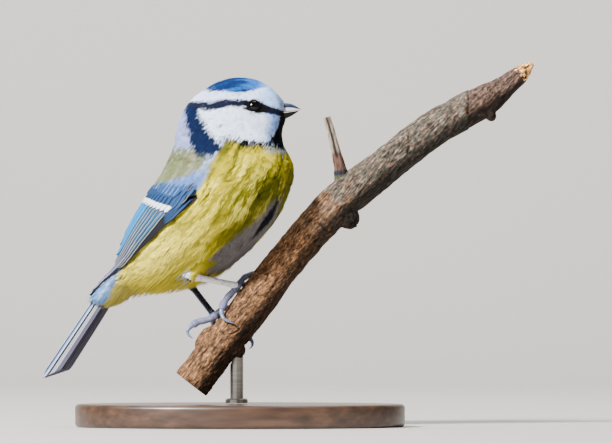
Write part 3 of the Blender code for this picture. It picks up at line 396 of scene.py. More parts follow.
def markings(place, girth, colours):
    """The plumage's colour at each place, the same on both sides of the bird."""
    angle = np.abs((girth + 180) % 360 - 180)
    spots = on_photo(outline(place, -angle))
    x, y = spots.T
    ripple = streaks(place, girth)
    back = line_value(MANTLE_EDGE, place)
    mantle = 1 - smooth(angle, back - 2.5, back + 2)
    wing = mantle * smooth(place - line_value(SCAPULAR_LINE, angle), -0.35, 0.1) * smooth(angle, 18, 27)
    ankle = within(spots, ANKLE_TUFT, 1.2) * smooth(angle, 100, 110)
    head = within(spots, HEAD_AREA, 1.5)
    cap = head * within(spots, CAP, 1.0)
    cheek = head * within(spots, CHEEK, 1.0)
    front = x - 0.35 * (y - 84) + 3 * ripple
    dashes = smooth(patchwork(girth / 1.6 + 900, place + 30), -0.6, -0.1)
    dashes = np.maximum(dashes, 0.85 * smooth(x, 238, 241) * (1 - smooth(x, 262, 266)))
    paint = np.zeros((len(place), 3))
    for name, share in (
        ("breast", np.ones(len(place))),
        ("flank", smooth(place, 9.5, 12.5) * (1 - smooth(angle, 110, 150)) * 0.8),
        ("breast_shade", smooth(-ripple, -0.1, 0.6) * (0.85 - 0.5 * smooth(place, 9.5, 12.0))),
        # Painted shade: the breast darkens towards its front and lower front, and its pale streaks thin out there.
        ("breast_shade", smooth(x, 212, 268) * 0.9 * smooth(place, 6.5, 8.5)),
        ("breast_shade", smooth(x, 203, 236) * smooth(y, 170, 208) * smooth(place, 8.0, 9.0) * 0.6),
        ("breast_light", smooth(ripple, 0.1, 0.7) * (0.75 - 0.45 * smooth(x, 235, 270))),
        # Painted shadow in the fold of the flank.
        ("breast_shade", striped(spots, FLANK_FOLD_SHADOW) * 0.8),
        ("vent", striped(spots, FLANK_LOCK, 1.4) * 0.8),
        ("vent", smooth(place, 12.4, 13.8) * smooth(angle, 80, 120) * (0.8 + 0.2 * ripple)),
        ("mantle_pale", smooth(place, 14.2, 15.2) * smooth(angle, 80, 120) * 0.35),
        ("mantle", mantle),
        ("mantle_pale", mantle * smooth(ripple, -0.3, 0.8) * 0.8),
        ("lesser", wing),
        ("lesser_pale", wing * smooth(ripple, -0.2, 0.8) * 0.8),
        ("lesser_pale", striped(spots, SHOULDER_LINE, 1.5) * (0.8 + 0.2 * ripple) * (place > 6)),
        ("rump", mantle * smooth(place, 13.2, 14.5)),
        ("tail_base", within(spots, TAIL_BASE, 1.5)),
        ("brow", striped(spots, TAIL_BASE_EDGE, 0.8) * 0.7),
        # Painted shade: the white belly is painted grey.
        ("belly", within(spots, SHADED_BELLY_PATCH, 2.5) * smooth(angle, 110, 130)),
        ("streak", striped(spots, BELLY_STREAK, 1.0) * smooth(angle, 150, 165)),
        ("mantle_pale", ankle),
        ("cheek", ankle * 0.55),
        ("brow", head),
        ("nape", head * within(spots, NAPE, 1.5)),
        ("forehead", head * smooth(x, 256, 268) * (1 - smooth(y, 105, 112))),
        ("cap", cap),
        ("cap_streak", cap * smooth(ripple, -0.2, 0.9) * 0.8),
        ("cap_front", cap * smooth(front, 244, 253)),
        ("forehead", cap * smooth(front, 258, 272) * 0.8),
        ("cheek", cheek),
        ("cheek_blue", cheek * smooth(x + 2.5 * ripple, 263, 273) * 0.8),
        ("collar", within(spots, COLLAR, 1.4)),
        ("eye_line", head * striped(spots, EYE_LINE)),
        ("lores", head * striped(spots, EYE_SURROUND, 1.2)),
        ("bib", striped(spots, CHEEK_EDGE, 1.0) * dashes),
        ("cheek_blue", striped(spots, THROAT_HAZE, 2.0) * (0.45 + 0.35 * ripple)),
        ("bib", within(spots, BIB, 1.2)),
    ):
        paint = over(paint, colours[name], share)
    return paint


# ---------------------------------------------------------------- making pieces
def shaped(bm, shape):
    """Carries a flat grid on to a surface, given in millimetres over its own two measures."""
    spots = np.array([vert.co[:2] for vert in bm.verts]) + 0.5
    for vert, point in zip(bm.verts, shape(spots[:, 0], spots[:, 1]) * MM):
        vert.co = point


def flat_grid(columns, rows):
    bm = bmesh.new()
    bm.loops.layers.uv.new("UVMap")
    bmesh.ops.create_grid(bm, x_segments=columns, y_segments=rows, size=0.5, calc_uvs=True)
    return bm


def tube(columns, rows, shape):
    """A closed tube: the first measure runs along it and the second once round it."""
    bm = flat_grid(columns, rows)
    shaped(bm, shape)
    bmesh.ops.remove_doubles(bm, verts=bm.verts, dist=1e-7)
    bmesh.ops.holes_fill(bm, edges=[edge for edge in bm.edges if edge.is_boundary], sides=0)
    bmesh.ops.recalc_face_normals(bm, faces=bm.faces)
    return bm


def piece(name, bm, finishes, stands_for=()):
    """A finished object from a bmesh, riding on the one body."""
    mesh = bpy.data.meshes.new(name)
    bm.to_mesh(mesh)
    bm.free()
    return dressed(name, mesh, finishes, stands_for)


def dressed(name, mesh, finishes, stands_for=()):
    for finish in finishes if isinstance(finishes, (list, tuple)) else [finishes]:
        mesh.materials.append(finish)
    mesh.shade_smooth()
    obj = bpy.data.objects.new(name, mesh)
    bpy.context.scene.collection.objects.link(obj)
    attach(obj, "root")
    if stands_for:
        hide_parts(*stands_for)
    return obj


def painted(obj, colours, layer="coat"):
    """Gives each vertex of a piece its colour."""
    attribute = obj.data.color_attributes.new(layer, "FLOAT_COLOR", "POINT")
    values = np.ones((len(colours), 4), np.float32)
    values[:, :3] = colours
    attribute.data.foreach_set("color", values.ravel())


def smooth_path(points, count):
    """Evenly spaced points on a smooth curve through the given ones, and the curve's length."""
    fine = curve_through(points, np.linspace(0, len(points) - 1, 40 * len(points)))
    lengths = np.concatenate([[0.0], np.cumsum(np.linalg.norm(np.diff(fine, axis=0), axis=1))])
    wanted = np.linspace(0, lengths[-1], count)
    return sampled(lengths, fine, wanted), lengths[-1]


def path_frames(path):
    """Directions along a path and two across it, with no twist."""
    along = unit(np.gradient(path, axis=0))
    across = np.empty_like(along)
    start = np.cross(along[0], (0.0, 1.0, 0.0))
    across[0] = start / np.linalg.norm(start)
    for i in range(1, len(path)):
        carried = across[i - 1] - along[i] * (across[i - 1] @ along[i])
        across[i] = carried / np.linalg.norm(carried)
    return along, across, np.cross(along, across)


def sampled(steps, table, at):
    """Rows of a table at any places between its steps."""
    return np.stack([np.interp(at, steps, column) for column in np.transpose(table)], axis=1)


def path_tube(path, radius_at, columns, rows, oval=1.0):
    """A tube round a path in millimetres. The radius is a function of the share of its length and the turn."""
    points, _ = smooth_path(path, 200)
    _, across, third = path_frames(points)
    steps = np.linspace(0, 1, len(points))

    def shape(u, v):
        turn = 2 * np.pi * v
        radius = np.reshape(radius_at(u, v), (-1, 1))
        spoke = sampled(steps, across, u) * np.cos(turn)[:, None]
        spoke += sampled(steps, third, u) * np.sin(turn)[:, None] * oval
        return sampled(steps, points, u) + spoke * radius

    return tube(columns, rows, shape)


def ball(radius, centre, segments, rings, scale=(1.0, 1.0, 1.0)):
    """A ball, or an oval one, by its radius and centre in millimetres."""
    bm = bmesh.new()
    bmesh.ops.create_uvsphere(bm, u_segments=segments, v_segments=rings, radius=radius * MM)
    bmesh.ops.scale(bm, verts=bm.verts, vec=scale)
    bmesh.ops.translate(bm, verts=bm.verts, vec=Vector(np.asarray(centre) * MM))
    return bm


# ---------------------------------------------------------------- finishes
BARB_LEAN = 7.0
FULL_TURN = 6.283


def scaled(colour, share):
    return tuple(min(share * value, 1.0) for value in colour)


def add(tree, kind, inputs=None, **settings):
    """A node with its settings, its values and its links."""
    made = tree.nodes.new(kind)
    for key, value in settings.items():
        setattr(made, key, value)
    for key, value in (inputs or {}).items():
        if isinstance(value, bpy.types.NodeSocket):
            tree.links.new(value, made.inputs[key])
        else:
            made.inputs[key].default_value = value
    return made


def finish(name, roughness=0.6, **values):
    """A new Principled material: its tree and its shader."""
    made = bpy.data.materials.new(name)
    made.use_nodes = True
    shader = made.node_tree.nodes["Principled BSDF"]
    shader.inputs["Roughness"].default_value = roughness
    for key, value in values.items():
        shader.inputs[key.replace("_", " ")].default_value = value
    return made, made.node_tree, shader


def ramp(tree, factor, stops):
    """Colours along a factor: each stop is a place and a linear colour."""
    made = add(tree, "ShaderNodeValToRGB", {"Fac": factor})
    elements = made.color_ramp.elements
    for i, (place, colour) in enumerate(stops):
        if i > 1:
            elements.new(place)
        elements[i].position = place
        elements[i].color = (*colour, 1.0)
    return made.outputs["Color"]


def mixed(tree, share, first, second, blend="MIX"):
    made = add(tree, "ShaderNodeMix", data_type="RGBA", blend_type=blend)
    for socket, value in zip((made.inputs[0], made.inputs[6], made.inputs[7]), (share, first, second)):
        if isinstance(value, bpy.types.NodeSocket):
            tree.links.new(value, socket)
        elif isinstance(value, (tuple, list)):
            socket.default_value = (*value, 1.0)
        else:
            socket.default_value = value
    return made.outputs[2]


def sums(tree, operation, first, second=0.0, third=None):
    made = add(tree, "ShaderNodeMath", {0: first, 1: second}, operation=operation)
    if third is not None:
        made.inputs[2].default_value = third
    return made.outputs[0]


def grain(tree, scale, detail=4.0, stretch=(1.0, 1.0, 1.0), turn=(0.0, 0.0, 0.0)):
    """Noise over a piece's own coordinates, longer along the turned axes by the stretch."""
    spot = add(tree, "ShaderNodeTexCoord").outputs["Object"]
    inputs = {"Vector": spot, "Scale": stretch, "Rotation": turn}
    placed = add(tree, "ShaderNodeMapping", inputs, vector_type="TEXTURE").outputs[0]
    return add(tree, "ShaderNodeTexNoise", {"Vector": placed, "Scale": scale, "Detail": detail}).outputs["Fac"]


def tones(colour, *stops):
    """Stops of a ramp in shares of one colour, each a place and a share."""
    return tuple((place, scaled(colour, share)) for place, share in stops)


def bumped(tree, shader, height, strength, distance=0.0002):
    made = add(tree, "ShaderNodeBump", {"Height": height, "Strength": strength, "Distance": distance})
    tree.links.new(made.outputs[0], shader.inputs["Normal"])


def coloured(tree, shader, first, *others):
    """Gives a finish its base colour: the first layer multiplied by the others."""
    for layer in others:
        first = mixed(tree, 1.0, first, layer, "MULTIPLY")
    tree.links.new(first, shader.inputs["Base Color"])


def greys(*stops):
    """Stops of a ramp in plain greys, each a place and a value."""
    return tuple((place, (value,) * 3) for place, value in stops)


def vertex_paint(tree):
    """The colours that a piece carries on its vertices."""
    return add(tree, "ShaderNodeAttribute", attribute_name="coat").outputs["Color"]


def own_measures(tree):
    """A piece's own two measures, from its UV map."""
    corner = add(tree, "ShaderNodeTexCoord").outputs["UV"]
    return tuple(add(tree, "ShaderNodeSeparateXYZ", {0: corner}).outputs)[:2]


def mottled(name, roughness, low, high, scale, detail=4.0, stretch=(1.0, 1.0, 1.0), **values):
    """A finish that wavers between two tones."""
    made, tree, shader = finish(name, roughness, **values)
    coloured(tree, shader, ramp(tree, grain(tree, scale, detail, stretch), ((0.3, low), (0.7, high))))
    return made, tree, shader


def coat_finish(name, shade=1.0):
    """Soft plumage in its painted colours."""
    made, tree, shader = finish(name, 0.78, Sheen_Weight=0.02, Sheen_Roughness=0.5, Specular_IOR_Level=0.1)
    cloud = ramp(tree, grain(tree, 900.0, 2.0), greys((0.3, 0.86 * shade), (0.7, 1.08 * shade)))
    coloured(tree, shader, vertex_paint(tree), cloud)
    return made


def vane_finish(
    name, outer, inner, edge, tip=None, tip_start=0.9, shaft=None, barbs=60.0, edge_start=0.93, web=0.5, line=None
):
    """A vane's two webs, its shaft, edge and tip, over its own measures across and along."""
    line = line or outer
    shaft = shaft or scaled(inner, 0.6)
    made, tree, shader = finish(name, 0.55, Specular_IOR_Level=0.3)
    across, along = own_measures(tree)
    wander = sums(tree, "MULTIPLY_ADD", grain(tree, 500.0, 3.0), 0.08, -0.04)
    webs = ramp(tree, sums(tree, "ADD", across, wander), (
        (0.0, inner), (web - 0.06, inner), (web - 0.02, shaft), (web + 0.02, shaft), (web + 0.06, outer),
        (edge_start - 0.19, outer), (edge_start - 0.16, line), (edge_start - 0.03, line), (edge_start, edge),
        (1.0, edge),
    ))
    if tip:
        reach = sums(tree, "ADD", along, sums(tree, "MULTIPLY_ADD", grain(tree, 900.0, 2.0), 0.08, -0.04))
        share = ramp(tree, reach, greys((tip_start, 0), (tip_start + 0.04, 1)))
        webs = mixed(tree, share, webs, tip)
    lean = sums(tree, "ABSOLUTE", sums(tree, "SUBTRACT", across, web))
    rows = sums(tree, "SUBTRACT", sums(tree, "MULTIPLY", along, barbs), sums(tree, "MULTIPLY", lean, BARB_LEAN))
    wave = sums(tree, "SINE", sums(tree, "MULTIPLY", rows, FULL_TURN))
    lines = ramp(tree, sums(tree, "MULTIPLY_ADD", wave, 0.5, 0.5), greys((0.0, 0.84), (1.0, 1.06)))
    coloured(tree, shader, webs, lines)
    bumped(tree, shader, wave, 0.25, 0.0001)
    return made


# ---------------------------------------------------------------- coat
# A tuft's three rings: how far along it they lie, how wide they are and how far they fan out, and its points.
RING_SHARES = (0.0, 0.36, 0.72)
RING_WIDTHS = (0.55, 1.0, 0.75)
FAN = (0.3, 0.85, 1.05)
RING_POINTS = (3, 3, 3, 1)
TUFT_LOOPS = np.array([
    0, 3, 4, 1, 1, 4, 5, 2, 2, 5, 3, 0,
    3, 6, 7, 4, 4, 7, 8, 5, 5, 8, 6, 3,
    6, 9, 7, 7, 9, 8, 8, 9, 6,
    0, 1, 2,
])
TUFT_SIZES = np.array([4] * 6 + [3] * 4)
# The coat's own random seed, the spots tried for its feathers, the share of its length squared that a feather covers,
# the length that goes with the full width, how thick a tuft is for its width, and how rare the stray ones are.
COAT_SEED = 11
SCATTER_TRIES = 90000
FEATHER_COVER = 0.42
FULL_LENGTH = 4.8
TUFT_THICKNESS = 0.45
STRAY_FROM = 0.8
MOST_TUFTS = 12000
# Where a tuft's points lie in its own patch of the bake map, and the patch's size.
TUFT_SPREAD = np.array([
    (-1, -1), (1, -1), (0, -1), (-1, -0.3), (1, -0.3), (0, -0.3), (-0.8, 0.4), (0.8, 0.4), (0, 0.4), (0, 1),
])
BAKE_PATCH = 0.0015
# How dark each ring and the tip of the tufts are: painted shade deep in the coat, darkest at the root, and a touch
# lighter at the tip.
BODY_SHADES = (0.34, 0.76, 1.0, 1.08)
COVERT_SHADES = (0.5, 0.84, 1.0, 1.06)
BRISTLE_SHADES = (0.6, 0.9, 1.0, 1.04)
THIGH_SHADES = (0.5, 0.86, 1.0, 1.04)
COVERT_TUFTS = 6400
COVERT_REACH = ((22, -0.3), (50, -0.1), (62, 0.25), (75, 0.65), (101, 0.75))
BRISTLE_TUFTS = 900
# The regions of the coat: slot, places and angles from and to.
REGIONS = {
    "crown_feathers": ("cap_plumage", -1, 5.6, 0, 62),
    "face_feathers": ("cap_plumage", -1, 5.6, 62, 181),
    "nape_feathers": ("neck_plumage", 5.6, 7.8, 0, 80),
    "throat_feathers": ("neck_plumage", 5.6, 7.8, 80, 181),
    "mantle_feathers": ("neck_plumage", 7.8, 99, 0, 80),
    "breast_feathers": ("breast_plumage", 7.8, 10.4, 80, 181),
    "belly_feathers": ("breast_plumage", 10.4, 12.8, 80, 181),
    "vent_feathers": ("rump_plumage", 12.8, 99, 80, 181),
}


def tuft_arrays(surface, place, girth, length, width, thick, turn, across, depth, tip_lift, fan_width):
    """Points and soft normals of tufts that lie along a surface: three rings of three points and a tip each."""

    def level(p, g):
        return surface(p, g, 0.0)

    by_place, by_girth, _ = slopes(level, place, girth)
    per_place = np.linalg.norm(by_place, axis=1)
    per_degree = np.maximum(np.linalg.norm(by_girth, axis=1), 0.02)
    points, normals = [], []
    for share, size, fan in (*zip(RING_SHARES, RING_WIDTHS, FAN), (1.0, 0.0, 0.85)):
        p = place + length * np.cos(turn) * share / per_place
        g = girth + (length * np.sin(turn) * share + across * fan_width * fan) / per_degree
        rise = -depth * (1 - share) ** 1.6 + tip_lift * share**1.5 + depth * 0.15 * (1 - (across / 1.2) ** 2) * share
        centre = surface(p, g, rise)
        step_place, step_girth, out = slopes(level, p, g)
        ahead, round_it = np.cos(turn) / per_place, np.sin(turn) / per_degree
        heading = unit(step_place * ahead[:, None] + step_girth * round_it[:, None])
        side = np.cross(heading, out)
        if size == 0.0:
            points.append(centre)
            normals.append(unit(out + heading * 0.3))
            continue
        half = (width * size / 2)[:, None]
        points += [centre - side * half, centre + side * half, centre + out * (thick * size)[:, None]]
        normals += [unit(out - side * 0.55), unit(out + side * 0.55), unit(out + 0.0)]
    return np.stack(points, axis=1), np.stack(normals, axis=1)


def coat_piece(name, tufts, shown, shades, roots, material):
    """Tufts joined as one mesh, with their colours and a patch each on the bake map."""
    points, normals = tufts
    count = len(points)
    mesh = bpy.data.meshes.new(name)
    mesh.vertices.add(count * 10)
    mesh.vertices.foreach_set("co", (points * MM).astype(np.float32).ravel())
    loops = (TUFT_LOOPS[None, :] + 10 * np.arange(count)[:, None]).ravel()
    sizes = np.tile(TUFT_SIZES, count)
    mesh.loops.add(len(loops))
    mesh.loops.foreach_set("vertex_index", loops.astype(np.int32))
    mesh.polygons.add(len(sizes))
    mesh.polygons.foreach_set("loop_start", np.concatenate([[0], np.cumsum(sizes)[:-1]]).astype(np.int32))
    chart = np.stack(roots, axis=1)[:, None, :] + TUFT_SPREAD[None, :, :] * BAKE_PATCH
    uv = mesh.uv_layers.new(name="OFBake")
    uv.data.foreach_set("uv", chart.reshape(-1, 2)[loops].astype(np.float32).ravel())
    mesh.update(calc_edges=True)
    mesh.validate()
    obj = dressed(name, mesh, material)
    painted(obj, (shown[:, None, :] * np.repeat(shades, RING_POINTS)[None, :, None]).reshape(-1, 3))
    mesh.normals_split_custom_set_from_vertices(normals.reshape(-1, 3).astype(np.float32))


def scattered(rng, low, high, wanted, surface):
    """Places and girths spread evenly over a surface, as dense as the wanted number to the square millimetre."""
    place = rng.uniform(low, high, SCATTER_TRIES)
    girth = rng.uniform(-180, 180, SCATTER_TRIES)
    chance = rng.uniform(0, 1, SCATTER_TRIES)
    by_place, by_girth, _ = slopes(surface, place, girth)
    area = np.linalg.norm(np.cross(by_place, by_girth), axis=1)
    keep = chance < area * wanted(place, girth) * (high - low) * 360 / SCATTER_TRIES
    return place[keep], girth[keep]


def thigh_surface(side_name):
    """The shank's own surface: place runs from 0 at the knee to 1 at the ankle, girth round it."""
    knee, ankle = (np.array(LEGS[side_name][key]) for key in ("knee", "ankle"))
    along = (ankle - knee) / np.linalg.norm(ankle - knee)
    across = np.cross(along, (0.0, 1.0, 0.0))
    across /= np.linalg.norm(across)
    third = np.cross(along, across)
    reach = np.linalg.norm(ankle - knee) - ANKLE_RADIUS

    def surface(place, girth, lift=0.0):
        s = place * reach
        taper = smooth(reach - s, -0.5, THIGH_TAPER)
        knee_end = np.sqrt(np.clip(1 - (np.maximum(THIGH_ROUNDING - s, 0) / THIGH_ROUNDING) ** 2, 0.05, 1))
        radius = (ANKLE_RADIUS + (THIGH_RADIUS - ANKLE_RADIUS) * taper) * knee_end + lift
        turn = np.radians(girth)
        spoke = across * np.cos(turn)[:, None] + third * np.sin(turn)[:, None]
        return knee + along * s[:, None] + spoke * np.reshape(radius, (-1, 1))

    return surface


# ---------------------------------------------------------------- legs
# Radii along the leg, how the thigh is rounded and tapers, and the length of a toe's pads, in millimetres.
ANKLE_RADIUS = 1.3
THIGH_RADIUS = 4.3
THIGH_ROUNDING = 3.0
THIGH_TAPER = 7.5
TARSUS_RADIUS = 0.95
FOOT_RADIUS = 1.25
TOE_RADIUS = 0.82
TOE_PADS = 0.07
PAD_LENGTH = 3.4
CLAW_RADIUS = 0.62
CLAW_TIP_RADIUS = 0.1
# For each leg: knee, ankle, station and angle of the foot on the branch, and the toes. A toe has places on the bark
# (millimetres up the branch, degrees round it, height over it) and the length of its claw.
LEGS = {
    "right": {
        "knee": (-8.2, -9.6, 55.5), "ankle": (-15.0, -11.2, 45.9), "stand": (3.42, 12.0),
        "toes": (
            ("hallux", ((-2.2, 16.0, 1.7), (-5.0, 21.0, 2.2), (-7.4, 29.0, 2.2), (-9.2, 37.0, 1.8),
                        (-10.2, 52.0, 1.4), (-10.0, 68.0, 0.9), (-9.4, 84.0, 0.5)), 6.8),
            ("toe_2", ((-1.0, -24.0, 1.2), (-2.0, -56.0, 1.2), (-2.6, -88.0, 1.2), (-3.0, -112.0, 0.9),
                       (-3.2, -128.0, 0.4)), 4.4),
            ("toe_3", ((1.3, -24.0, 1.2), (1.9, -54.0, 1.2), (2.3, -86.0, 1.2), (2.4, -114.0, 1.1),
                       (2.0, -138.0, 0.4)), 4.8),
            ("toe_4", ((3.4, -8.0, 1.2), (6.0, -36.0, 1.2), (7.6, -62.0, 1.2), (8.2, -88.0, 1.0),
                       (8.2, -104.0, 0.4)), 4.4),
        ),
    },
    "left": {
        "knee": (-11.2, 8.0, 54.0), "ankle": (-15.6, 10.8, 43.7), "stand": (2.2, -8.0),
        "toes": (
            ("hallux", ((-2.0, -2.0, 2.4), (-4.4, 2.0, 4.4), (-6.6, 5.0, 5.2), (-8.1, 7.0, 5.2),
                        (-8.9, 9.0, 4.3), (-9.0, 11.0, 2.9), (-8.6, 13.0, 2.2)), 5.6),
            ("toe_2", ((2.4, -15.0, 1.2), (4.0, -37.0, 1.2), (4.8, -64.0, 1.2), (5.0, -88.0, 1.0),
                       (4.8, -106.0, 0.4)), 4.4),
            ("toe_3", ((0.8, -42.0, 1.2), (1.2, -84.0, 1.2), (1.0, -124.0, 1.2), (0.8, -148.0, 2.0),
                       (-0.4, -160.0, 2.2), (-1.8, -166.0, 1.6)), 5.4),
            ("toe_4", ((-2.0, -34.0, 1.2), (-3.4, -66.0, 1.2), (-3.8, -98.0, 1.1), (-3.6, -124.0, 0.4)), 4.4),
        ),
    },
}


def bark_relief(station, angle):
    t = np.radians(angle)
    return BARK_RELIEF * (
        np.sin(3 * t + 1.7 * station) + 0.7 * np.sin(5 * t - 0.9 * station) + 0.6 * np.sin(2.3 * station)
    )


def branch_point(station, angle, lift=0.0):
    """Points by the bark: angle 0 is the upper left side, 90 faces the viewer."""
    x, z, radius = curve_through(BRANCH_LINE, station).T
    ahead = curve_through(BRANCH_LINE, station + 0.02) - curve_through(BRANCH_LINE, station - 0.02)
    along = unit(np.stack([ahead[:, 0], 0 * x, ahead[:, 1]], axis=1))
    up = np.stack([-along[:, 2], 0 * x, along[:, 0]], axis=1)
    t = np.radians(angle)[:, None]
    reach = (radius * (1 + bark_relief(station, angle)) + lift)[:, None]
    return np.stack([x, 0 * x, z], axis=1) + (up * np.cos(t) - np.array((0, 1, 0)) * np.sin(t)) * reach


# ---------------------------------------------------------------- wings and tail
# For each kind of vane: how many, places and angles of the first and last root, places and angles of the first and
# last tip, half width, lift, lift at the tip, thickness, where the tip's rounding starts, camber, and how far the vane
# bows towards the belly, in degrees.
VANES = {
    "primaries": (6, (10.2, 9.5), (80, 94), (15.0, 16.3), (55, 41), 1.25, -0.15, 0.45, 0.3, 0.82, 0.06, 5.0),
    "inner_primaries": (3, (10.2, 10.2), (72, 80), (14.6, 15.9), (53, 42), 1.25, 0.0, 0.5, 0.3, 0.8, 0.06, 3.0),
    "secondaries": (6, (10.1, 10.2), (54, 79), (13.5, 13.7), (48, 66), 1.75, 0.08, 0.0, 0.2, 0.9, 0.1, 0.0),
    "tertials": (3, (10.2, 10.1), (28, 47), (12.2, 13.2), (28, 42), 2.7, 0.2, 0.0, 0.3, 0.72, 0.2, 0.0),
    "primary_coverts": (4, (9.6, 9.8), (82, 91), (10.8, 11.0), (83, 87), 1.1, 0.3, 0.0, 0.3, 0.7, 0.1, 0.0),
    "alula": (2, (9.0, 9.5), (87, 88), (9.55, 10.05), (87, 89), 0.7, 0.6, 0.0, 0.16, 0.55, 0.1, 0.0),
    "greater_coverts": (10, (9.75, 9.5), (34, 78), (10.72, 10.62), (34, 80), 1.5, 0.3, 0.0, 0.3, 0.75, 0.12, 0.0),
    "outer_coverts": (2, (9.45, 9.4), (82, 86), (10.5, 10.45), (83, 86), 1.4, 0.4, 0.0, 0.3, 0.66, 0.12, 0.0),
    "median_coverts": (13, (9.8, 8.9), (30, 88), (10.35, 9.9), (30, 88), 1.35, 0.45, -0.1, 0.3, 0.5, 0.14, 0.0),
}
# How far a vane's edge rises over its neighbour, and how narrow and how deep its root is.
VANE_RISE = 0.42
VANE_ROOT_WIDTH = 0.55
VANE_ROOT_SINK = 0.9
# The tail: the slope of its two sides, its root and tip, how many vanes a side has, how far apart their middles are,
# their half width, and how much shorter each is than the one above.
TAIL_SLOPE = 62.0
TAIL_AHEAD = (-48.2, -69.4)
TAIL_HEIGHT = (41.4, 14.5)
RECTRICES = 6
RECTRIX_SPACING = 0.77
RECTRIX_HALF_WIDTH = 1.25
RECTRIX_STEP = 1.1


def thickened(bm, outside, thickness):
    """Gives a vane its thickness on the inner side."""
    if sum((face.normal.dot(Vector(outside)) for face in bm.faces)) < 0:
        bmesh.ops.reverse_faces(bm, faces=bm.faces)
    outer = list(bm.faces)
    bmesh.ops.solidify(bm, geom=outer, thickness=thickness * MM)
    bmesh.ops.recalc_face_normals(bm, faces=bm.faces)
    for face in bm.faces:
        face.material_index = 0 if face.normal.dot(Vector(outside)) > -0.4 else 1


def joined(parts):
    """Several bmeshes as one."""
    whole = bmesh.new()
    for part in parts:
        carrier = bpy.data.meshes.new("carrier")
        part.to_mesh(carrier)
        part.free()
        whole.from_mesh(carrier)
        bpy.data.meshes.remove(carrier)
    return whole


def wing_vane(side, root, tip, half_width, lift, tip_lift, thickness, tip_start, camber, bow):
    """One vane of the folded wing, from root to tip, each a place and an angle."""
    bm = flat_grid(8, 22)

    def shape(u, v):
        c = 2 * u - 1
        place = root[0] + (tip[0] - root[0]) * v
        angle = root[1] + (tip[1] - root[1]) * v + 4 * bow * v * (1 - v)
        beyond = np.clip((v - tip_start) / (1 - tip_start), 0, 1)
        width = half_width * np.minimum(VANE_ROOT_WIDTH + 1.4 * v, 1.0) * np.sqrt(np.maximum(1 - beyond**2, 0.006))
        width *= 1 + 0.02 * np.sin(40 * v + 3 * c)
        per_degree = np.linalg.norm(outline(place, side * (angle + 1)) - outline(place, side * (angle - 1)), axis=1) / 2
        raised = lift + tip_lift * v**3 - VANE_ROOT_SINK * (1 - v) ** 4
        return plumage(place, side * (angle + c * width / per_degree), raised + VANE_RISE * c + camber * (1 - c * c))

    shaped(bm, shape)
    bm.normal_update()
    middle = np.array([(root[0] + tip[0]) / 2]), np.array([side * (root[1] + tip[1]) / 2])
    thickened(bm, slopes(outline, *middle)[2][0], thickness)
    return bm


def rectrix(side, number):
    """One vane of the tail: number 0 is in the middle."""
    root, tip = in_world(np.array(TAIL_AHEAD), np.zeros(2), np.array(TAIL_HEIGHT), TRUNK_TURN)
    length = np.linalg.norm(tip - root)
    along = (tip - root) / length
    left = np.array((math.sin(math.radians(TRUNK_TURN)), math.cos(math.radians(TRUNK_TURN)), 0.0))
    top = np.cross(left, along)
    slope = math.radians(TAIL_SLOPE)
    down_slope = left * (side * math.cos(slope)) - top * math.sin(slope)
    face = top * math.cos(slope) + left * (side * math.sin(slope))
    middle = RECTRIX_HALF_WIDTH - 0.25 + RECTRIX_SPACING * number
    reach = length - 1.0 - RECTRIX_STEP * number
    stack = -0.09 * side - 0.07 * number
    bm = flat_grid(8, 30)

    def shape(u, v):
        c = 2 * u - 1
        fan = 0.85 + 0.15 * v**0.7
        beyond = np.clip((v - 0.9) / 0.1, 0, 1)
        width = RECTRIX_HALF_WIDTH * np.sqrt(np.maximum(1 - 0.9 * beyond**2.4, 0.02))
        across = (middle + c * width) * fan
        rise = 0.3 * c + 0.12 * (1 - c * c) + stack
        return root + along * (0.9 + (reach - 0.9) * v)[:, None] + down_slope * across[:, None] + face * rise[:, None]

    shaped(bm, shape)
    bm.normal_update()
    thickened(bm, top, 0.28)
    return bm


# ---------------------------------------------------------------- settings that a user would change
def colour_property(label, value):
    return FloatVectorProperty(
        name=label, description=f"Colour of: {label.lower()}", subtype="COLOR", size=3, min=0.0, max=1.0,
        default=linear(*value),
    )


def power_property(label, description, value):
    return FloatProperty(name=label, description=description, default=value, min=0.0, subtype="POWER", unit="POWER")


class TitPlumageSettings(bpy.types.PropertyGroup):
    """Colours of the small feathers and how thick they lie."""

    __annotations__ = {key: colour_property(label, value) for key, (label, value) in PLUMAGE_COLOURS.items()}
    __annotations__["density"] = FloatProperty(
        name="Density", description="How many layers the small feathers lie in", default=6.5, min=1.0, max=9.0
    )
    __annotations__["barbs"] = IntProperty(
        name="Tufts to a feather", description="How many tufts make one small feather", default=7, min=3, max=9
    )
    __annotations__["tuft_width"] = FloatProperty(
        name="Tuft width", description="Width of a breast feather's tufts", default=0.0004, min=0.0001, max=0.001,
        subtype="DISTANCE",
    )


class TitVaneSettings(bpy.types.PropertyGroup):
    """Colours of the wing and tail."""

    turquoise: colour_property("Secondaries", (14, 98, 140))
    tertial: colour_property("Tertials", (26, 118, 174))
    blue: colour_property("Coverts", (26, 62, 104))
    lavender: colour_property("Inner primaries", (132, 134, 170))
    dark: colour_property("Inner webs", (20, 20, 28))
    white: colour_property("Wing bar and edges", (240, 244, 252))
    tail: colour_property("Tail above", (84, 124, 172))
    underside: colour_property("Tail below", (76, 74, 92))


class TitBodySettings(bpy.types.PropertyGroup):
    """Bare parts: eyes, bill, legs and claws."""

    eye: colour_property("Eyes", (14, 10, 9))
    bill: colour_property("Bill", (26, 40, 62))
    bill_side: colour_property("Bill's sides", (206, 200, 208))
    bill_under: colour_property("Lower bill", (8, 8, 9))
    # The shins share one colour in life: the right is painted lit, near white, and the left is painted in shade, near
    # black.
    leg: colour_property("Right shin in painted light", (252, 250, 255))
    shaded_left_shin: colour_property("Left shin in painted shade", (23, 29, 54))
    toe: colour_property("Toes", (112, 116, 144))
    claw: colour_property("Claws", (102, 115, 146))
    eye_radius: FloatProperty(
        name="Eye radius", description="Radius of the eyeball", default=0.0021, min=0.001, max=0.003, subtype="DISTANCE"
    )


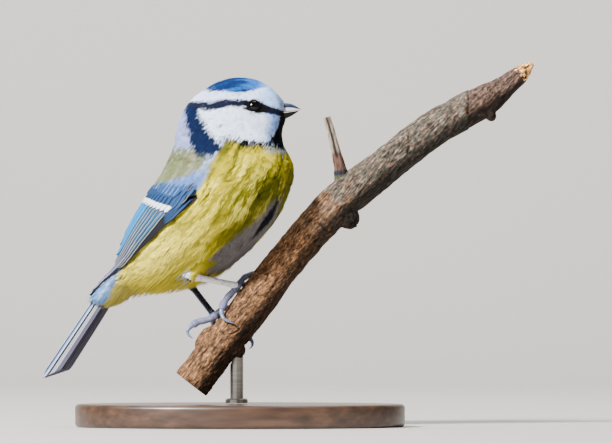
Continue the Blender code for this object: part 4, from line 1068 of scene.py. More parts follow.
class TitBranchSettings(bpy.types.PropertyGroup):
    """Bark, bare wood and stand."""

    bark: colour_property("Bark low down", (99, 70, 46))
    bark_upper: colour_property("Bark higher up", (75, 69, 60))
    bark_dark: colour_property("Cracks", (34, 25, 19))
    bark_tip: colour_property("Bark at the tip", (80, 62, 52))
    fresh_wood: colour_property("Broken wood", (214, 160, 98))
    stand: colour_property("Stand", (70, 48, 34))
    rod: colour_property("Rod", (150, 146, 138))


class TitStageSettings(bpy.types.PropertyGroup):
    """Floor and light."""

    floor: colour_property("Floor", (190, 186, 180))
    key: power_property("Key light", "Power of the main light", 66.0)
    fill: power_property("Fill light", "Power of the soft light", 1.0)
    sky: FloatProperty(name="Room light", description="Strength of the light from all round", default=0.09, min=0.0)
    backdrop: power_property("Backdrop light", "Power of the light on the backdrop", 18.0)


# ---------------------------------------------------------------- operators
def eye_centre(side):
    return plumage(np.array([EYE_PLACE]), np.array([side * EYE_ANGLE]), 0.0)[0]


class TIT_OT_skin(bpy.types.Operator):
    """The body under the feathers, in the same markings darkened as painted shade."""

    bl_idname = "tit.skin"
    bl_label = "Skin"

    def execute(self, context):
        colours = plumage_colours(context)
        # Painted shade: skin and thighs are painted darker than the plumage, so the gaps between the tufts look shaded.
        shade = coat_finish("under plumage", 0.8)

        def shape(u, v):
            place, girth = TAIL_END * u, 360 * v - 180
            return plumage(place, girth, body_lift(place, girth, 0.04 - line_value(COAT_DEPTH, place)))

        bm = tube(200, 120, shape)
        body = piece("body_skin", bm, shade, ("head", "neck", "torso", "rump"))
        corners = nearest_uv(body)
        painted(body, 0.75 * markings(TAIL_END * corners[:, 0], 360 * corners[:, 1] - 180, colours))
        for side_name in ("left", "right"):
            surface = thigh_surface(side_name)
            bm = tube(24, 28, lambda u, v: surface(u, 360 * v - 180, -0.5))
            thigh = piece("thigh_skin_" + side_name, bm, shade, ("thigh_" + side_name,))
            painted(thigh, np.tile(0.7 * np.array(colours["vent"]), (len(thigh.data.vertices), 1)))
        return {"FINISHED"}


def nearest_uv(obj):
    """Each vertex's own place on its UV map."""
    mesh = obj.data
    loops = np.empty(len(mesh.loops), np.int32)
    mesh.loops.foreach_get("vertex_index", loops)
    uv = np.empty(len(mesh.loops) * 2, np.float32)
    mesh.uv_layers[0].data.foreach_get("uv", uv)
    places = np.zeros((len(mesh.vertices), 2))
    places[loops] = uv.reshape(-1, 2)
    return places


def plumage_colours(context):
    settings = context.scene.tit_plumage
    return {key: tuple(getattr(settings, key)) for key in PLUMAGE_COLOURS}


class TIT_OT_coat(bpy.types.Operator):
    """The small feathers of the body, each a fan of tufts that lies along it."""

    bl_idname = "tit.coat"
    bl_label = "Small feathers"

    def execute(self, context):
        settings = context.scene.tit_plumage
        colours = plumage_colours(context)
        material = coat_finish("plumage")
        rng = np.random.default_rng(COAT_SEED)

        def wanted(place, girth):
            length = line_value(COAT_LENGTH, place)
            return settings.density / (FEATHER_COVER * length * length) * (1 + 1.6 * smooth(place, 14.8, 15.8))

        place, girth = scattered(rng, 0.05, TAIL_END - 0.05, wanted, outline)
        angle = np.abs(girth)
        past = place - line_value(SCAPULAR_LINE, angle)
        top, low = line_value(WING_TOP, place), line_value(WING_EDGE, place)
        bedded = smooth(place, 9.5, 10.5)
        hidden = (past > -0.3) & (angle > top + 2) & (angle < low - 2 + 4 * bedded)
        body_coat(rng, place[~hidden], girth[~hidden], settings, colours, material)
        for side_name in ("left", "right"):
            thigh_coat(rng, side_name, colours, material)
        for side, side_name in SIDES:
            covert_coat(rng, side, side_name, colours, material)
        face_bristles(rng, colours, material)
        return {"FINISHED"}


def covert_coat(rng, side, side_name, colours, material):
    """The soft lesser coverts that spill over the bend of the wing."""
    total = COVERT_TUFTS
    angle = rng.uniform(24, 101, total)
    reach = line_value(COVERT_REACH, angle)
    place = line_value(SCAPULAR_LINE, angle) - 0.9 + rng.uniform(0, 1, total) * (0.9 + reach)
    girth = side * angle

    def surface(p, g, rise):
        wing_start = line_value(SCAPULAR_LINE, np.abs(g))
        return plumage(p, g, rise - COAT_SINK / 2 + 0.6 * smooth(p, wing_start - 0.5, wing_start + 0.3))

    length = rng.uniform(1.9, 3.2, total)
    width = rng.uniform(0.26, 0.44, total)
    ripple = streaks(place, girth)
    tufts = tuft_arrays(
        surface, place, girth, length, width, width * TUFT_THICKNESS, rng.normal(0, 0.12, total),
        rng.uniform(-1, 1, total), 0.5, 0.12 + 0.12 * ripple + rng.uniform(0, 0.15, total), 0.3,
    )
    shown = markings(place + 0.08, girth, colours) * (rng.uniform(0.82, 1.12, total) * (1 + 0.1 * ripple))[:, None]
    roots = place / TAIL_END, (girth + 180) / 360
    coat_piece("lesser_coverts_" + side_name, tufts, shown, COVERT_SHADES, roots, material)


def face_bristles(rng, colours, material):
    """Short feathers round the bill's base that point forwards over it."""
    total = BRISTLE_TUFTS
    girth = rng.uniform(-180, 180, total)
    place = rng.uniform(0.3, 1.2, total)
    width = rng.uniform(0.12, 0.22, total)
    chin = smooth(np.abs(girth), 120, 160)
    tufts = tuft_arrays(
        plumage, place, girth, rng.uniform(0.4, 0.9, total) * (1 + 0.9 * chin), width, width * 0.5,
        np.pi + rng.normal(0, 0.35, total), rng.uniform(-1, 1, total), 0.25,
        -0.05 + chin * rng.uniform(0, 0.5, total), 0.2,
    )
    shown = markings(np.maximum(place - 0.2, 0.05), girth, colours) * rng.uniform(0.85, 1.08, total)[:, None]
    roots = 0.01 + place / TAIL_END, (girth + 180) / 360
    coat_piece("bill_bristles", tufts, shown, BRISTLE_SHADES, roots, material)


def body_coat(rng, place, girth, settings, colours, material):
    """The coat of head and trunk, region by region."""
    barbs = settings.barbs
    count = len(place)
    total = count * barbs
    length = line_value(COAT_LENGTH, place) * rng.uniform(0.85, 1.15, count)
    lean = rng.normal(0, 0.07, count)
    brightness = rng.uniform(0.9, 1.08, count)
    lift = rng.uniform(0.0, 0.3, count)
    across = np.tile(np.linspace(-1, 1, barbs), count) + rng.normal(0, 0.12, total)
    place, girth, feather, lean, brightness, lift = (
        np.repeat(a, barbs) for a in (place, girth, length, lean, brightness, lift)
    )
    length = feather * (1 - 0.14 * across**2) * rng.uniform(0.85, 1.1, total)
    place = place - rng.uniform(0, 0.12, total)
    depth = line_value(COAT_DEPTH, place)
    scale = line_value(COAT_LENGTH, place) / FULL_LENGTH
    width = settings.tuft_width / MM * (0.45 + 0.55 * scale) * rng.uniform(0.8, 1.2, total)
    angle = np.abs(girth)
    ruffle = smooth(place, 11.2, 12.8) * smooth(angle, 95, 135) * (1 - 0.6 * smooth(place, 14.0, 15.0))
    ripple = streaks(place, girth)
    head = 1 - smooth(place, 5.0, 7.5)
    stray = ruffle * (rng.uniform(0, 1, total) > STRAY_FROM) * rng.uniform(0.6, 1.0, total)
    length = length * (1 + 0.5 * ruffle) * (1 + 0.5 * stray)
    tip_lift = depth * (0.05 + lift * 0.4 + 0.42 * ripple) * (1 - 0.6 * head)
    tip_lift = tip_lift + 0.9 * ruffle * rng.uniform(0, 1, total) + 2.3 * stray

    def surface(p, g, rise):
        sink = COAT_SINK * (1 - 0.7 * smooth(p, 5.0, 8.0)) * (1 - 0.9 * smooth(np.abs(g), 80, 120))
        return plumage(p, g, body_lift(p, g, rise - sink))

    points, normals = tuft_arrays(
        surface, place, girth, length, width, width * TUFT_THICKNESS, lean + across * 0.08, across, depth * 0.95,
        tip_lift, 0.2 * feather,
    )
    per_place, per_degree = (np.linalg.norm(step, axis=1) for step in slopes(outline, place, girth)[:2])
    reach = length * rng.normal(0.78, 0.2, total) + rng.normal(0, 0.15, total)
    aside = across * 0.2 * feather / np.maximum(per_degree, 0.02)
    shown = markings(place + reach / per_place, girth + aside, colours)
    white = smooth(shown.min(axis=1), 0.3, 0.7)
    swing = 1 + (brightness * rng.uniform(0.85, 1.12, total) - 1) * (1 - 0.6 * white)
    shown *= (swing + 0.16 * ripple * (1 - 0.7 * white))[:, None]
    keep = np.ones(total, bool)
    for side in (-1, 1):
        keep &= (np.linalg.norm(points - eye_centre(side), axis=2) > EYE_CLEARING).all(axis=1)
    roots = np.clip(place / TAIL_END, 0.01, 0.99), (girth + 180) / 360
    for name, (slot, start, end, low, high) in REGIONS.items():
        chosen = keep & (place >= start) & (place < end) & (angle >= low) & (angle < high)
        picked = np.flatnonzero(chosen)
        parts = np.array_split(picked, max(math.ceil(len(picked) / MOST_TUFTS), 1))
        for number, part in enumerate(parts, 1):
            label = name if len(parts) == 1 else f"{name}_{number}"
            tufts = points[part], normals[part]
            coat_piece(label, tufts, shown[part], BODY_SHADES, [root[part] for root in roots], material)


def thigh_coat(rng, side_name, colours, material):
    """The feathers of one thigh, pale towards the ankle."""
    surface = thigh_surface(side_name)
    place, girth = scattered(rng, 0.02, 1.05, lambda p, g: 5.5 + 12 * smooth(p, 0.7, 0.9), surface)
    total = len(place)
    length = (3.8 - 1.4 * smooth(place, 0.5, 1.0)) * rng.uniform(0.8, 1.2, total)
    width = 0.36 * rng.uniform(0.8, 1.2, total)
    across = rng.uniform(-1, 1, total)
    tip_lift = rng.uniform(0.0, 0.5, total) + 0.5 * smooth(place, 0.7, 1.0)
    points, normals = tuft_arrays(
        surface, place, girth, length, width, width * TUFT_THICKNESS, rng.normal(0, 0.12, total), across, 0.5,
        tip_lift, 0.4,
    )
    x = on_photo(points[:, 9])[:, 0]
    pale = smooth(place, 0.6, 0.85) * (1 - smooth(x, 187.5, 190))
    # Painted shade: the thigh feathers darken towards the front, under the body.
    shown = over(np.array(colours["vent"]), colours["breast_shade"], 0.75 * smooth(x, 193, 208))
    shown = over(shown, colours["cheek"], pale) * rng.uniform(0.88, 1.06, total)[:, None]
    roots = 0.02 + 0.96 * place, (girth + 180) / 360
    coat_piece("thigh_feathers_" + side_name, (points, normals), shown, THIGH_SHADES, roots, material)


class TIT_OT_wings(bpy.types.Operator):
    """Both folded wings, vane by vane."""

    bl_idname = "tit.wings"
    bl_label = "Wings"

    def execute(self, context):
        s = context.scene.tit_vanes
        turquoise, tertial, blue, lavender, dark, white = (
            tuple(getattr(s, key)) for key in ("turquoise", "tertial", "blue", "lavender", "dark", "white")
        )
        deep = scaled(blue, 0.55)
        # For each kind: outer web, inner web, edge and the rest of its look.
        looks = {
            "primaries": (*(scaled(dark, share) for share in (0.45, 0.6, 0.8)), {"barbs": 130, "edge_start": 0.965}),
            "inner_primaries": (
                lavender, dark, scaled(lavender, 1.4), {"shaft": dark, "barbs": 110, "edge_start": 0.94, "line": dark},
            ),
            # The secondaries' dark line inside the pale edge is partly their dark inner web and partly painted shadow.
            "secondaries": (
                turquoise, dark, scaled(white, 0.42),
                {"shaft": dark, "barbs": 90, "edge_start": 0.955, "line": scaled(dark, 0.6)},
            ),
            "tertials": (tertial, scaled(tertial, 0.6), scaled(tertial, 1.4), {"shaft": turquoise, "edge_start": 0.97}),
            "primary_coverts": (scaled(blue, 0.7), deep, scaled(blue, 0.9), {"barbs": 40, "edge_start": 0.9}),
            "alula": (dark, scaled(blue, 1.4), scaled(white, 0.3), {"shaft": dark, "barbs": 30, "edge_start": 0.95}),
            "greater_coverts": (
                blue, deep, scaled(blue, 0.8), {"tip": white, "tip_start": 0.73, "shaft": deep, "barbs": 40},
            ),
            "outer_coverts": (blue, deep, scaled(blue, 0.9), {"shaft": deep, "barbs": 40}),
            "median_coverts": (
                scaled(blue, 1.1), blue, scaled(blue, 1.3), {"shaft": blue, "barbs": 30, "edge_start": 0.9},
            ),
        }
        finishes = {
            kind: vane_finish(kind.replace("_", " "), *webs, **rest) for kind, (*webs, rest) in looks.items()
        }
        for side, side_name in SIDES:
            stands_for = ("wing_" + side_name,)
            for kind, (count, root_p, root_a, tip_p, tip_a, *form) in VANES.items():
                roots = zip(np.linspace(*root_p, count), np.linspace(*root_a, count))
                tips = zip(np.linspace(*tip_p, count), np.linspace(*tip_a, count))
                bm = joined([wing_vane(side, root, tip, *form) for root, tip in zip(roots, tips)])
                piece(f"{kind}_{side_name}", bm, (finishes[kind],) * 2, stands_for)
                stands_for = ()
        return {"FINISHED"}


class TIT_OT_tail(bpy.types.Operator):
    """The tail, a low roof of overlapping vanes."""

    bl_idname = "tit.tail"
    bl_label = "Tail"

    def execute(self, context):
        s = context.scene.tit_vanes
        tail, under, white, dark = (tuple(getattr(s, key)) for key in ("tail", "underside", "white", "dark"))
        # The middle vane's whitish blue is partly the tail's pale edging and partly painted sheen.
        pale_edge_and_sheen = tuple(0.55 * a + 0.35 * b for a, b in zip(white, tail))
        below = vane_finish(
            "tail below", under, scaled(under, 0.7), scaled(under, 1.5), shaft=scaled(under, 1.3), barbs=160,
            edge_start=0.97,
        )
        # For each kind: its numbers from the middle out, its outer web, inner web, edge, shaft, and where edge and
        # shaft lie.
        kinds = {
            "middle": (range(1), tail, pale_edge_and_sheen, pale_edge_and_sheen, tail, 0.72, 0.3),
            # The inner vanes are dark all over: partly dark webs and partly a painted shadow line between the strips of
            # the tail.
            "inner": (range(1, 2), dark, dark, dark, dark, 0.97, 0.5),
            "outer": (range(2, 4), scaled(white, 0.4), dark, scaled(white, 0.48), dark, 0.9, 0.6),
            "side": (range(4, RECTRICES), scaled(under, 1.2), dark, under, dark, 0.9, 0.6),
        }
        for kind, (numbers, outer, inner, edge, shaft, edge_start, web) in kinds.items():
            above = vane_finish(
                kind + " tail", outer, inner, edge, shaft=shaft, barbs=160, edge_start=edge_start, web=web
            )
            bm = joined([rectrix(side, number) for side in (1, -1) for number in numbers])
            piece("tail_vanes_" + kind, bm, (above, below), ("tail",) if kind == "middle" else ())
        return {"FINISHED"}


class TIT_OT_eyes(bpy.types.Operator):
    """Glossy dark eyes, each in a ring of small lids."""

    bl_idname = "tit.eyes"
    bl_label = "Eyes"

    def execute(self, context):
        s = context.scene.tit_bare
        gloss, tree, shader = finish("eye", 0.1, Specular_IOR_Level=0.3)
        # Painted sheen: the eye's colour brightens towards its rim, where it is seen edge on.
        edge = add(tree, "ShaderNodeLayerWeight", {"Blend": 0.3}).outputs["Facing"]
        coloured(tree, shader, ramp(tree, edge, tones(s.eye, (0.0, 0.3), (0.9, 1.4))))
        lid = mottled("lid", 0.8, linear(5, 5, 7), linear(14, 14, 18), 3000.0, 2.0, Specular_IOR_Level=0.05)[0]
        for side, side_name in SIDES:
            low, high = (np.array(corner) / MM for corner in node_box("eye_" + side_name))
            centre = (low + high) / 2
            bm = ball(s.eye_radius / MM, centre, 40, 24)
            piece("eyeball_" + side_name, bm, gloss, ("eye_" + side_name,))
            rim = eye_centre(side)
            out = (rim - centre) / np.linalg.norm(rim - centre)
            ahead = np.cross(out, (0.0, 0.0, 1.0))
            ahead /= np.linalg.norm(ahead)
            up = np.cross(ahead, out)
            path = np.array([
                centre + out * LID_OUT + ahead * LID_AHEAD * math.cos(t) + up * LID_UP * math.sin(t)
                for t in np.linspace(0, 2 * math.pi, 25)[:-1]
            ])
            piece("eyelid_" + side_name, tube(96, 10, ring_shape(path, out)), lid)
        return {"FINISHED"}


def ring_shape(path, axis):
    """A closed ring round the given points, thin and beaded like small lids."""
    centre = path.mean(axis=0)
    closed = np.vstack([path, path[:1]])
    steps = np.linspace(0, 1, len(closed))

    def shape(u, v):
        middle = sampled(steps, closed, u)
        away = unit(middle - centre)
        roll = 2 * np.pi * v
        radius = LID_RADIUS * (1 + 0.1 * np.cos(2 * np.pi * LID_BEADS * u))[:, None]
        return middle + (away * np.cos(roll)[:, None] + axis * np.sin(roll)[:, None]) * radius

    return shape


def node_box(name):
    """Lowest and highest corner of a node of the solids."""
    points = np.array([vert.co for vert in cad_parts[name].data.vertices])
    return points.min(axis=0), points.max(axis=0)


class TIT_OT_bill(bpy.types.Operator):
    """The short bill in two halves, with nostrils."""

    bl_idname = "tit.bill"
    bl_label = "Bill"

    def execute(self, context):
        s = context.scene.tit_bare
        pale, dark, under = tuple(s.bill_side), tuple(s.bill), tuple(s.bill_under)
        black = scaled(under, 0.4)
        looks = {
            "upper_bill": (
                (0.0, pale), (0.1, pale), (0.14, dark), (0.655, dark), (0.69, pale), (0.775, pale), (0.8, black),
                (1.0, black),
            ),
            "lower_bill": tones(under, (0.0, 0.4), (0.1, 1.0), (0.3, 1.4), (0.45, 1.7), (0.65, 1.0), (0.8, 0.4)),
        }
        for name, *form in BILL_HALVES:
            horn, tree, shader = finish(name.replace("_", " "), 0.4, Specular_IOR_Level=0.25)
            across = own_measures(tree)[1]
            cloud = ramp(tree, grain(tree, 1500.0), greys((0.3, 0.8), (0.7, 1.1)))
            coloured(tree, shader, ramp(tree, across, looks[name]), cloud)
            bumped(tree, shader, grain(tree, 2500.0), 0.15)
            piece("fine_" + name, tube(40, 40, half_bill(*form)), horn, (name,))
        # The nostrils are dark balls: painted shade that stands for each nostril's hollow.
        pit = mottled("nostril", 0.8, linear(12, 13, 17), linear(26, 27, 34), 4000.0)[0]
        x, y, z = NOSTRIL
        for side, side_name in SIDES:
            bm = ball(0.3, (x, NECK_Y + side * y, z), 16, 10, (1.4, 0.6, 0.8))
            piece("nostril_" + side_name, bm, pit)
        return {"FINISHED"}


def half_bill(base_z, tip_x, curve, way):
    """One half of the bill: an arch from side to side, closed by a flat side along the mouth."""

    def shape(u, v):
        part = np.maximum(u - 0.2, 0) / 0.8
        x = BILL_BASE_X + (tip_x - BILL_BASE_X) * part - 1.4 * np.maximum(0.2 - u, 0) / 0.2
        mouth = MOUTH_Z + MOUTH_RISE * part + way * 0.1
        height = np.maximum(abs(base_z - MOUTH_Z) * (1 - part**curve), 0.1)
        width = np.maximum(BILL_HALF_WIDTH * (1 - part**1.25), 0.1)
        t = np.pi * np.clip(v / 0.8, 0, 1)
        floor = np.clip((v - 0.8) / 0.2, 0, 1)
        y = NECK_Y + width * np.where(v <= 0.8, np.cos(t), -1 + 2 * floor)
        z = mouth + way * height * np.where(v <= 0.8, np.sin(t), 0)
        return np.stack([x, y, z], axis=1)

    return shape


class TIT_OT_legs(bpy.types.Operator):
    """Scaled legs, toes and claws that grip the branch."""

    bl_idname = "tit.legs"
    bl_label = "Legs"

    def execute(self, context):
        s = context.scene.tit_bare
        # Painted light and shade: the right shin's finish is painted lit, the left's in shade.
        scaly = {"right": scaly_finish("right", s.leg), "left": scaly_finish("left", s.shaded_left_shin)}
        toe_skin = scaly_finish("toe", s.toe)
        horn = mottled("claw", 0.3, scaled(s.claw, 0.6), scaled(s.claw, 1.2), 700.0, Specular_IOR_Level=0.5)[0]
        for side_name, leg in LEGS.items():
            ankle = np.array(leg["ankle"])
            station, angle = leg["stand"]
            pad = branch_point(np.array([station]), np.array([angle]), FOOT_RADIUS + 0.3)[0]
            bm = path_tube([ankle, ankle + (pad - ankle) * 0.12, pad], shin_radius, 90, 28)
            piece("shin_" + side_name, bm, scaly[side_name], ("tarsus_" + side_name,))
            bm = ball(FOOT_RADIUS * 1.02, pad, 24, 16)
            piece("pad_" + side_name, bm, toe_skin, ("foot_" + side_name,))
            for toe, places, claw_length in leg["toes"]:
                at = np.array(places)
                path = np.vstack([pad, branch_point(station + at[:, 0] / STATION_LENGTH, at[:, 1], at[:, 2])])
                points, total = smooth_path(path, 200)
                cut = int(199 * (total - claw_length) / total)
                bm = path_tube(points[: cut + 1 : 6], toe_form(total - claw_length, toe == "hallux"), 70, 20)
                piece(f"fine_{toe}_{side_name}", bm, toe_skin, (f"{toe}_{side_name}",))
                bm = path_tube(points[cut - 6 :: 6], claw_radius, 40, 16, 0.8)
                piece(f"fine_{toe}_claw_{side_name}", bm, horn, (f"{toe}_claw_{side_name}",))
        return {"FINISHED"}


def scaly_finish(part, colour):
    """Scaled skin with rings across it."""
    made, tree, shader = finish(part + " scales", 0.4, Specular_IOR_Level=0.3)
    patches = tones(colour, (0.3, 0.5), (0.38, 0.95), (0.6, 1.0), (0.75, 1.4))
    coloured(tree, shader, ramp(tree, grain(tree, 700.0, 5.0), patches))
    scutes = sums(tree, "SINE", sums(tree, "MULTIPLY", own_measures(tree)[0], 80.0))
    bumped(tree, shader, sums(tree, "ADD", grain(tree, 3000.0), scutes), 0.3)
    return made


def shin_radius(u, v):
    rings = 0.05 * np.abs(np.sin(u * 9 * math.pi)) * (0.5 + 0.5 * np.cos(2 * np.pi * v))
    return TARSUS_RADIUS * (1 + 0.42 * swelling(u, 0.1, 0.09) + 0.2 * smooth(u, 0.8, 1.0) - rings)


def claw_radius(u, v):
    return CLAW_TIP_RADIUS * 0.8 + (1.3 * CLAW_RADIUS - CLAW_TIP_RADIUS) * (1 - u) ** 0.75


def toe_form(reach, thick):
    """The radius along a toe with its pads and scutes."""

    def radius_at(u, v):
        pads = 0.16 * thick + TOE_PADS * np.sin(u * reach * 2 * np.pi / PAD_LENGTH) + 0.26 * swelling(u, 0.84, 0.13)
        scutes = 0.06 * np.abs(np.sin(u * reach * np.pi / 0.85))
        end = np.sqrt(np.clip(1 - np.maximum(u - 0.94, 0) ** 2 / 0.0042, 0.2, 1))
        return TOE_RADIUS * (1.14 - 0.08 * u + pads - scutes) * end

    return radius_at


def bark_noise(points, scale, octaves=3):
    return np.array([noise.fractal(Vector(p) * scale, 1.0, 2.0, octaves) for p in points])


def knob_share(station, angle, reach, edge):
    """How much of the ragged knob there is at each spot of the branch."""
    return swelling(station, KNOB_STATION, reach) * smooth(np.cos(np.radians(angle - KNOB_ANGLE)), edge, 0.9)


class TIT_OT_branch(bpy.types.Operator):
    """The weathered branch with its cracks, knots and broken end."""

    bl_idname = "tit.branch"
    bl_label = "Branch"

    def execute(self, context):
        s = context.scene.tit_branch
        bark, tree, shader = finish("bark", 0.85, Specular_IOR_Level=0.2)
        fibre = grain(tree, 1500.0, 8.0, (4.5, 1.0, 1.0), BARK_LEAN)
        flake = grain(tree, 1300.0, 6.0, (1.8, 1.0, 1.0), BARK_LEAN)
        height = sums(tree, "MULTIPLY", sums(tree, "ADD", fibre, flake), 0.5)
        hairs = grain(tree, 3600.0, 4.0, (7.0, 1.0, 1.0), BARK_LEAN)
        coloured(
            tree, shader, vertex_paint(tree),
            ramp(tree, height, greys((0.38, 0.2), (0.45, 0.7), (0.53, 1.2), (0.62, 2.6))),
            ramp(tree, hairs, greys((0.36, 0.45), (0.5, 1.0), (0.62, 1.5))),
        )
        bumped(tree, shader, height, 1.0, 0.0008)
        obj = piece("weathered_branch", tube(420, 110, self.shape), bark, ("branch",))
        points = np.array([vert.co for vert in obj.data.vertices]) / MM
        places = nearest_uv(obj)
        station, angle = BRANCH_END * places[:, 0], 360 * places[:, 1]
        blotch = bark_noise(points, 0.35)
        spots = bark_noise(points + 100.0, 0.9, 2)
        facing = smooth(-points[:, 1], 0, 2)
        seen = on_photo(points)
        low, upper, dark, tip, fresh = (
            np.array(getattr(s, key)) for key in ("bark", "bark_upper", "bark_dark", "bark_tip", "fresh_wood")
        )
        paint = np.tile(low, (len(points), 1))
        for colour, share in (
            (1.3 * low, smooth(blotch, 0.05, 0.4)),
            (1.7 * low, smooth(station, 2.5, 4.5) * 0.8),
            (upper, smooth(station + 2 * blotch, 6.0, 9.0)),
            (linear(*BARK_RED), smooth(spots, 0.15, 0.35) * smooth(station, 6, 8) * 0.6),
            (linear(*BARK_MOSS), smooth(-spots, 0.2, 0.4) * smooth(station, 6, 8) * 0.4),
            (tip, smooth(points[:, 0] + 0.5 * spots, SCAR_X - 0.2, SCAR_X + 0.2)),
            *((0.5 * dark, striped(seen, crack, 0.7) * facing * 0.9) for crack in BARK_CRACKS),
            (dark, smooth(-blotch, 0.2, 0.45) * 0.2),
            # Painted shade darkens the ragged knob on the branch's lower side.
            (0.8 * dark, knob_share(station, angle, 0.35, 0.4) * 0.8),
        ):
            paint = over(paint, colour, share)
        # Painted shade: the lower right side of the branch is darkened.
        paint *= (1 - 0.8 * smooth(np.cos(np.radians(angle - 180)), 0.0, 0.55))[:, None]
        broken = smooth(station + 0.5 * spots, 16.7, 16.9)
        paint = over(paint, fresh, broken)
        painted(obj, over(paint, 0.4 * fresh, broken * smooth(-spots, 0.15, 0.3)))
        return {"FINISHED"}

    @staticmethod
    def shape(u, v):
        """The bark's surface with knots, ridges, cracks, the scar's rim, the ragged knob and the broken end."""
        station, angle = BRANCH_END * u, 360 * v
        plain = branch_point(station, angle)
        lift = np.zeros(len(u))
        for at, turn, height, reach in KNOTS:
            away = np.radians(np.abs((angle - turn + 180) % 360 - 180)) / KNOT_SPREAD
            square = ((station - at) * STATION_LENGTH / reach) ** 2 + away**2
            lift += height * np.maximum(1 - square, 0) ** 0.7
        ridge = np.abs(bark_noise(plain + 40.0, 0.5, 2))
        lift += 0.28 * bark_noise(plain, 0.22) - 0.35 * np.maximum(0.22 - ridge, 0) / 0.22 * smooth(7.5 - station, 0, 2)
        facing = smooth(-plain[:, 1], 0, 2)
        for crack in BARK_CRACKS:
            lift -= 0.55 * striped(on_photo(plain), crack, 0.8) * facing
        lift += 0.35 * smooth(plain[:, 0], SCAR_X + 0.3, SCAR_X) * smooth(plain[:, 0], SCAR_X - 6, SCAR_X)
        lift += 0.9 * bark_noise(plain + 60.0, 1.1, 2) * knob_share(station, angle, 0.3, 0.5)
        torn = smooth(station, 16.6, 17.0) * (1 - smooth(station, 17.7, 18.0))
        lift += 0.5 * bark_noise(plain + 9.0, 1.3, 2) * torn
        return branch_point(station, angle, lift)


class TIT_OT_twig(bpy.types.Operator):
    """The split side twig."""

    bl_idname = "tit.twig"
    bl_label = "Twig"

    def execute(self, context):
        s = context.scene.tit_branch
        wood, tree, shader = finish("twig", 0.8, Specular_IOR_Level=0.2)
        fibre = grain(tree, 1600.0, 6.0, (1.0, 1.0, 6.0))
        speck = ramp(tree, fibre, greys((0.36, 0.45), (0.5, 0.95), (0.66, 1.35)))
        coloured(tree, shader, vertex_paint(tree), speck)
        bumped(tree, shader, fibre, 0.6)
        line = np.array(TWIG_LINE)

        def radius_at(u, v):
            radius = np.interp(u, np.linspace(0, 1, len(line)), line[:, 3])
            groove = smooth(u, 0.45, 0.55) * swelling(v, SPLIT_TURN, 0.06) * 0.6
            flare = 0.55 * swelling(u, 0.02, 0.14) + 0.12 * swelling(u, 0.27, 0.04)
            ribs = 0.05 * np.sin(14 * v * math.pi) + 0.04 * np.sin(18 * v * math.pi + 30 * u)
            return radius * (1 + ribs + flare - groove)

        obj = piece("split_twig", path_tube(line[:, :3], radius_at, 90, 36), wood, ("twig",))
        u, v = nearest_uv(obj).T
        heights, colours = zip(*TWIG_ZONES)
        paint = sampled(heights, [linear(*colour) for colour in colours], line_value(TWIG_HEIGHTS, u))
        groove = smooth(u, 0.42, 0.5) * swelling(v, SPLIT_TURN, 0.07)
        painted(obj, over(paint, 0.6 * np.array(s.bark_dark), groove))
        return {"FINISHED"}


class TIT_OT_stand(bpy.types.Operator):
    """The oval wooden base and the rod that carries the branch."""

    bl_idname = "tit.stand"
    bl_label = "Stand"

    def execute(self, context):
        s = context.scene.tit_branch
        wood, tree, shader = finish("stand wood", 0.4, Coat_Weight=0.3, Coat_Roughness=0.2)
        rings = grain(tree, 500.0, 6.0, (9.0, 1.0, 1.0))
        coloured(tree, shader, ramp(tree, rings, tones(s.stand, (0.3, 0.5), (0.55, 1.0), (0.75, 1.7))))
        bumped(tree, shader, rings, 0.1)
        bm = bmesh.new()
        bmesh.ops.create_cone(bm, cap_ends=True, segments=160, radius1=0.5, radius2=0.5, depth=1.0)
        bmesh.ops.scale(bm, verts=bm.verts, vec=[size * MM for size in BASE_SIZE])
        bmesh.ops.translate(bm, verts=bm.verts, vec=(0, 0, BASE_SIZE[2] / 2 * MM))
        rim = [edge for edge in bm.edges if len(edge.link_faces) == 2 and edge.calc_face_angle() > 1.0]
        bmesh.ops.bevel(
            bm, geom=rim, offset=BASE_ROUNDING * MM, affect="EDGES", segments=5, profile=0.5, material=-1
        )
        piece("oval_base", bm, wood, ("stand_base",))
        tone = tuple(s.rod)
        metal = mottled("rod metal", 0.35, scaled(tone, 0.7), tone, 2400.0, 3.0, (12.0, 12.0, 1.0), Metallic=1.0)[0]
        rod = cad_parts["stand_rod"]
        rod.data.materials.clear()
        rod.data.materials.append(metal)
        return {"FINISHED"}


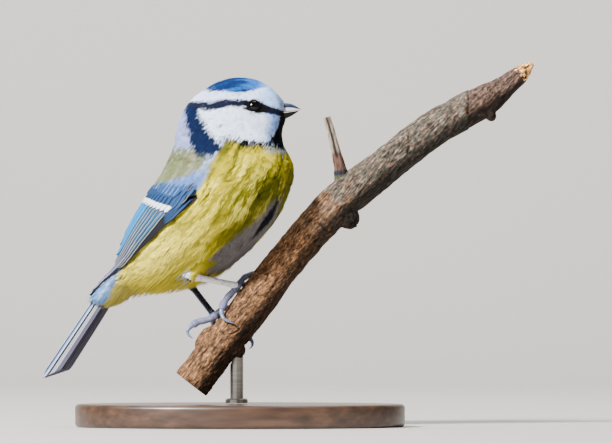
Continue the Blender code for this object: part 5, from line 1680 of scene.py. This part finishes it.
class TIT_OT_stage(bpy.types.Operator):
    """Floor, backdrop, lights and the camera at the photograph's angle."""

    bl_idname = "tit.stage"
    bl_label = "Stage"

    def execute(self, context):
        s = context.scene.tit_stage
        self.add_floor(context, tuple(s.floor))
        for name, size, place, aim in LIGHTS:
            light = bpy.data.lights.new(name + "_light", "AREA")
            light.energy = getattr(s, name)
            light.size = size
            turn = (Vector(aim) - Vector(place)).to_track_quat("-Z", "Y").to_euler()
            placed(context, light, place, turn)
        world = bpy.data.worlds.new("room")
        world.use_nodes = True
        tree = world.node_tree
        background = tree.nodes["Background"].inputs
        background["Color"].default_value = (0.93, 0.95, 1.0, 1.0)
        seen = add(tree, "ShaderNodeLightPath").outputs["Is Camera Ray"]
        tree.links.new(sums(tree, "MULTIPLY_ADD", seen, 0.6, s.sky), background["Strength"])
        context.scene.world = world
        camera = bpy.data.cameras.new("camera")
        camera.sensor_width = SENSOR_WIDTH
        camera.lens = SENSOR_WIDTH * CAMERA_DISTANCE / (PHOTO_WIDTH / PIXELS_PER_MM)
        camera.clip_end = 20.0
        view = (VIEW_X * MM, -CAMERA_DISTANCE * MM, VIEW_Z * MM)
        context.scene.camera = placed(context, camera, view, (math.radians(90), 0, 0))
        return {"FINISHED"}

    def add_floor(self, context, colour):
        """The floor, which sweeps up behind and can be seen through from below."""
        plain, tree, shader = mottled("floor", 0.9, scaled(colour, 0.98), colour, 3.0, 2.0)
        behind = add(tree, "ShaderNodeNewGeometry").outputs["Backfacing"]
        through = add(tree, "ShaderNodeBsdfTransparent").outputs[0]
        clear = add(tree, "ShaderNodeMixShader", {0: behind, 1: shader.outputs[0], 2: through})
        output = next(node for node in tree.nodes if node.type == "OUTPUT_MATERIAL")
        tree.links.new(clear.outputs[0], output.inputs["Surface"])

        def sweep(u, v):
            length = FLOOR_LENGTH * v
            bend = np.clip(length - FLOOR_DEPTH, 0, SWEEP_RADIUS * math.pi / 2) / SWEEP_RADIUS
            y = FLOOR_FRONT + np.minimum(length, FLOOR_DEPTH) + SWEEP_RADIUS * np.sin(bend)
            wall = np.maximum(length - FLOOR_DEPTH - SWEEP_RADIUS * math.pi / 2, 0)
            return np.stack([(u - 0.5) * FLOOR_WIDTH, y, SWEEP_RADIUS * (1 - np.cos(bend)) + wall * 3], axis=1)

        bm = flat_grid(4, 40)
        shaped(bm, sweep)
        bm.normal_update()
        if sum(face.normal.z for face in bm.faces) < 0:
            bmesh.ops.reverse_faces(bm, faces=bm.faces)
        mesh = bpy.data.meshes.new("floor")
        bm.to_mesh(mesh)
        bm.free()
        mesh.materials.append(plain)
        mesh.shade_smooth()
        placed(context, mesh)


def placed(context, data, place=(0, 0, 0), turn=(0, 0, 0)):
    """An object of the stage for its data, by the same name."""
    obj = bpy.data.objects.new(data.name, data)
    obj.location = place
    obj.rotation_euler = turn
    context.scene.collection.objects.link(obj)
    return obj


PIECES = (
    TIT_OT_skin, TIT_OT_coat, TIT_OT_wings, TIT_OT_tail, TIT_OT_eyes, TIT_OT_bill, TIT_OT_legs,
    TIT_OT_branch, TIT_OT_twig, TIT_OT_stand, TIT_OT_stage,
)
SETTINGS = {
    "tit_plumage": TitPlumageSettings,
    "tit_vanes": TitVaneSettings,
    "tit_bare": TitBodySettings,
    "tit_branch": TitBranchSettings,
    "tit_stage": TitStageSettings,
}


class TIT_PT_panel(bpy.types.Panel):
    """Lists the pieces and their settings."""

    bl_idname = "TIT_PT_panel"
    bl_label = "Blue Tit"
    bl_space_type = "VIEW_3D"
    bl_region_type = "UI"
    bl_category = "Blue Tit"

    def draw(self, context):
        for operator in PIECES:
            self.layout.operator(operator.bl_idname)
        for name, group in SETTINGS.items():
            box = self.layout.box()
            for key in group.__annotations__:
                box.prop(getattr(context.scene, name), key)


def register():
    for group in SETTINGS.values():
        bpy.utils.register_class(group)
    for name, group in SETTINGS.items():
        setattr(bpy.types.Scene, name, PointerProperty(type=group))
    for operator in (*PIECES, TIT_PT_panel):
        bpy.utils.register_class(operator)


def unregister():
    for operator in reversed((*PIECES, TIT_PT_panel)):
        bpy.utils.unregister_class(operator)
    for name, group in SETTINGS.items():
        delattr(bpy.types.Scene, name)
        bpy.utils.unregister_class(group)


def main():
    register()
    for operator in PIECES:
        family, name = operator.bl_idname.split(".")
        getattr(getattr(bpy.ops, family), name)()
    bpy.context.view_layer.update()


if __name__ == "__main__":
    main()
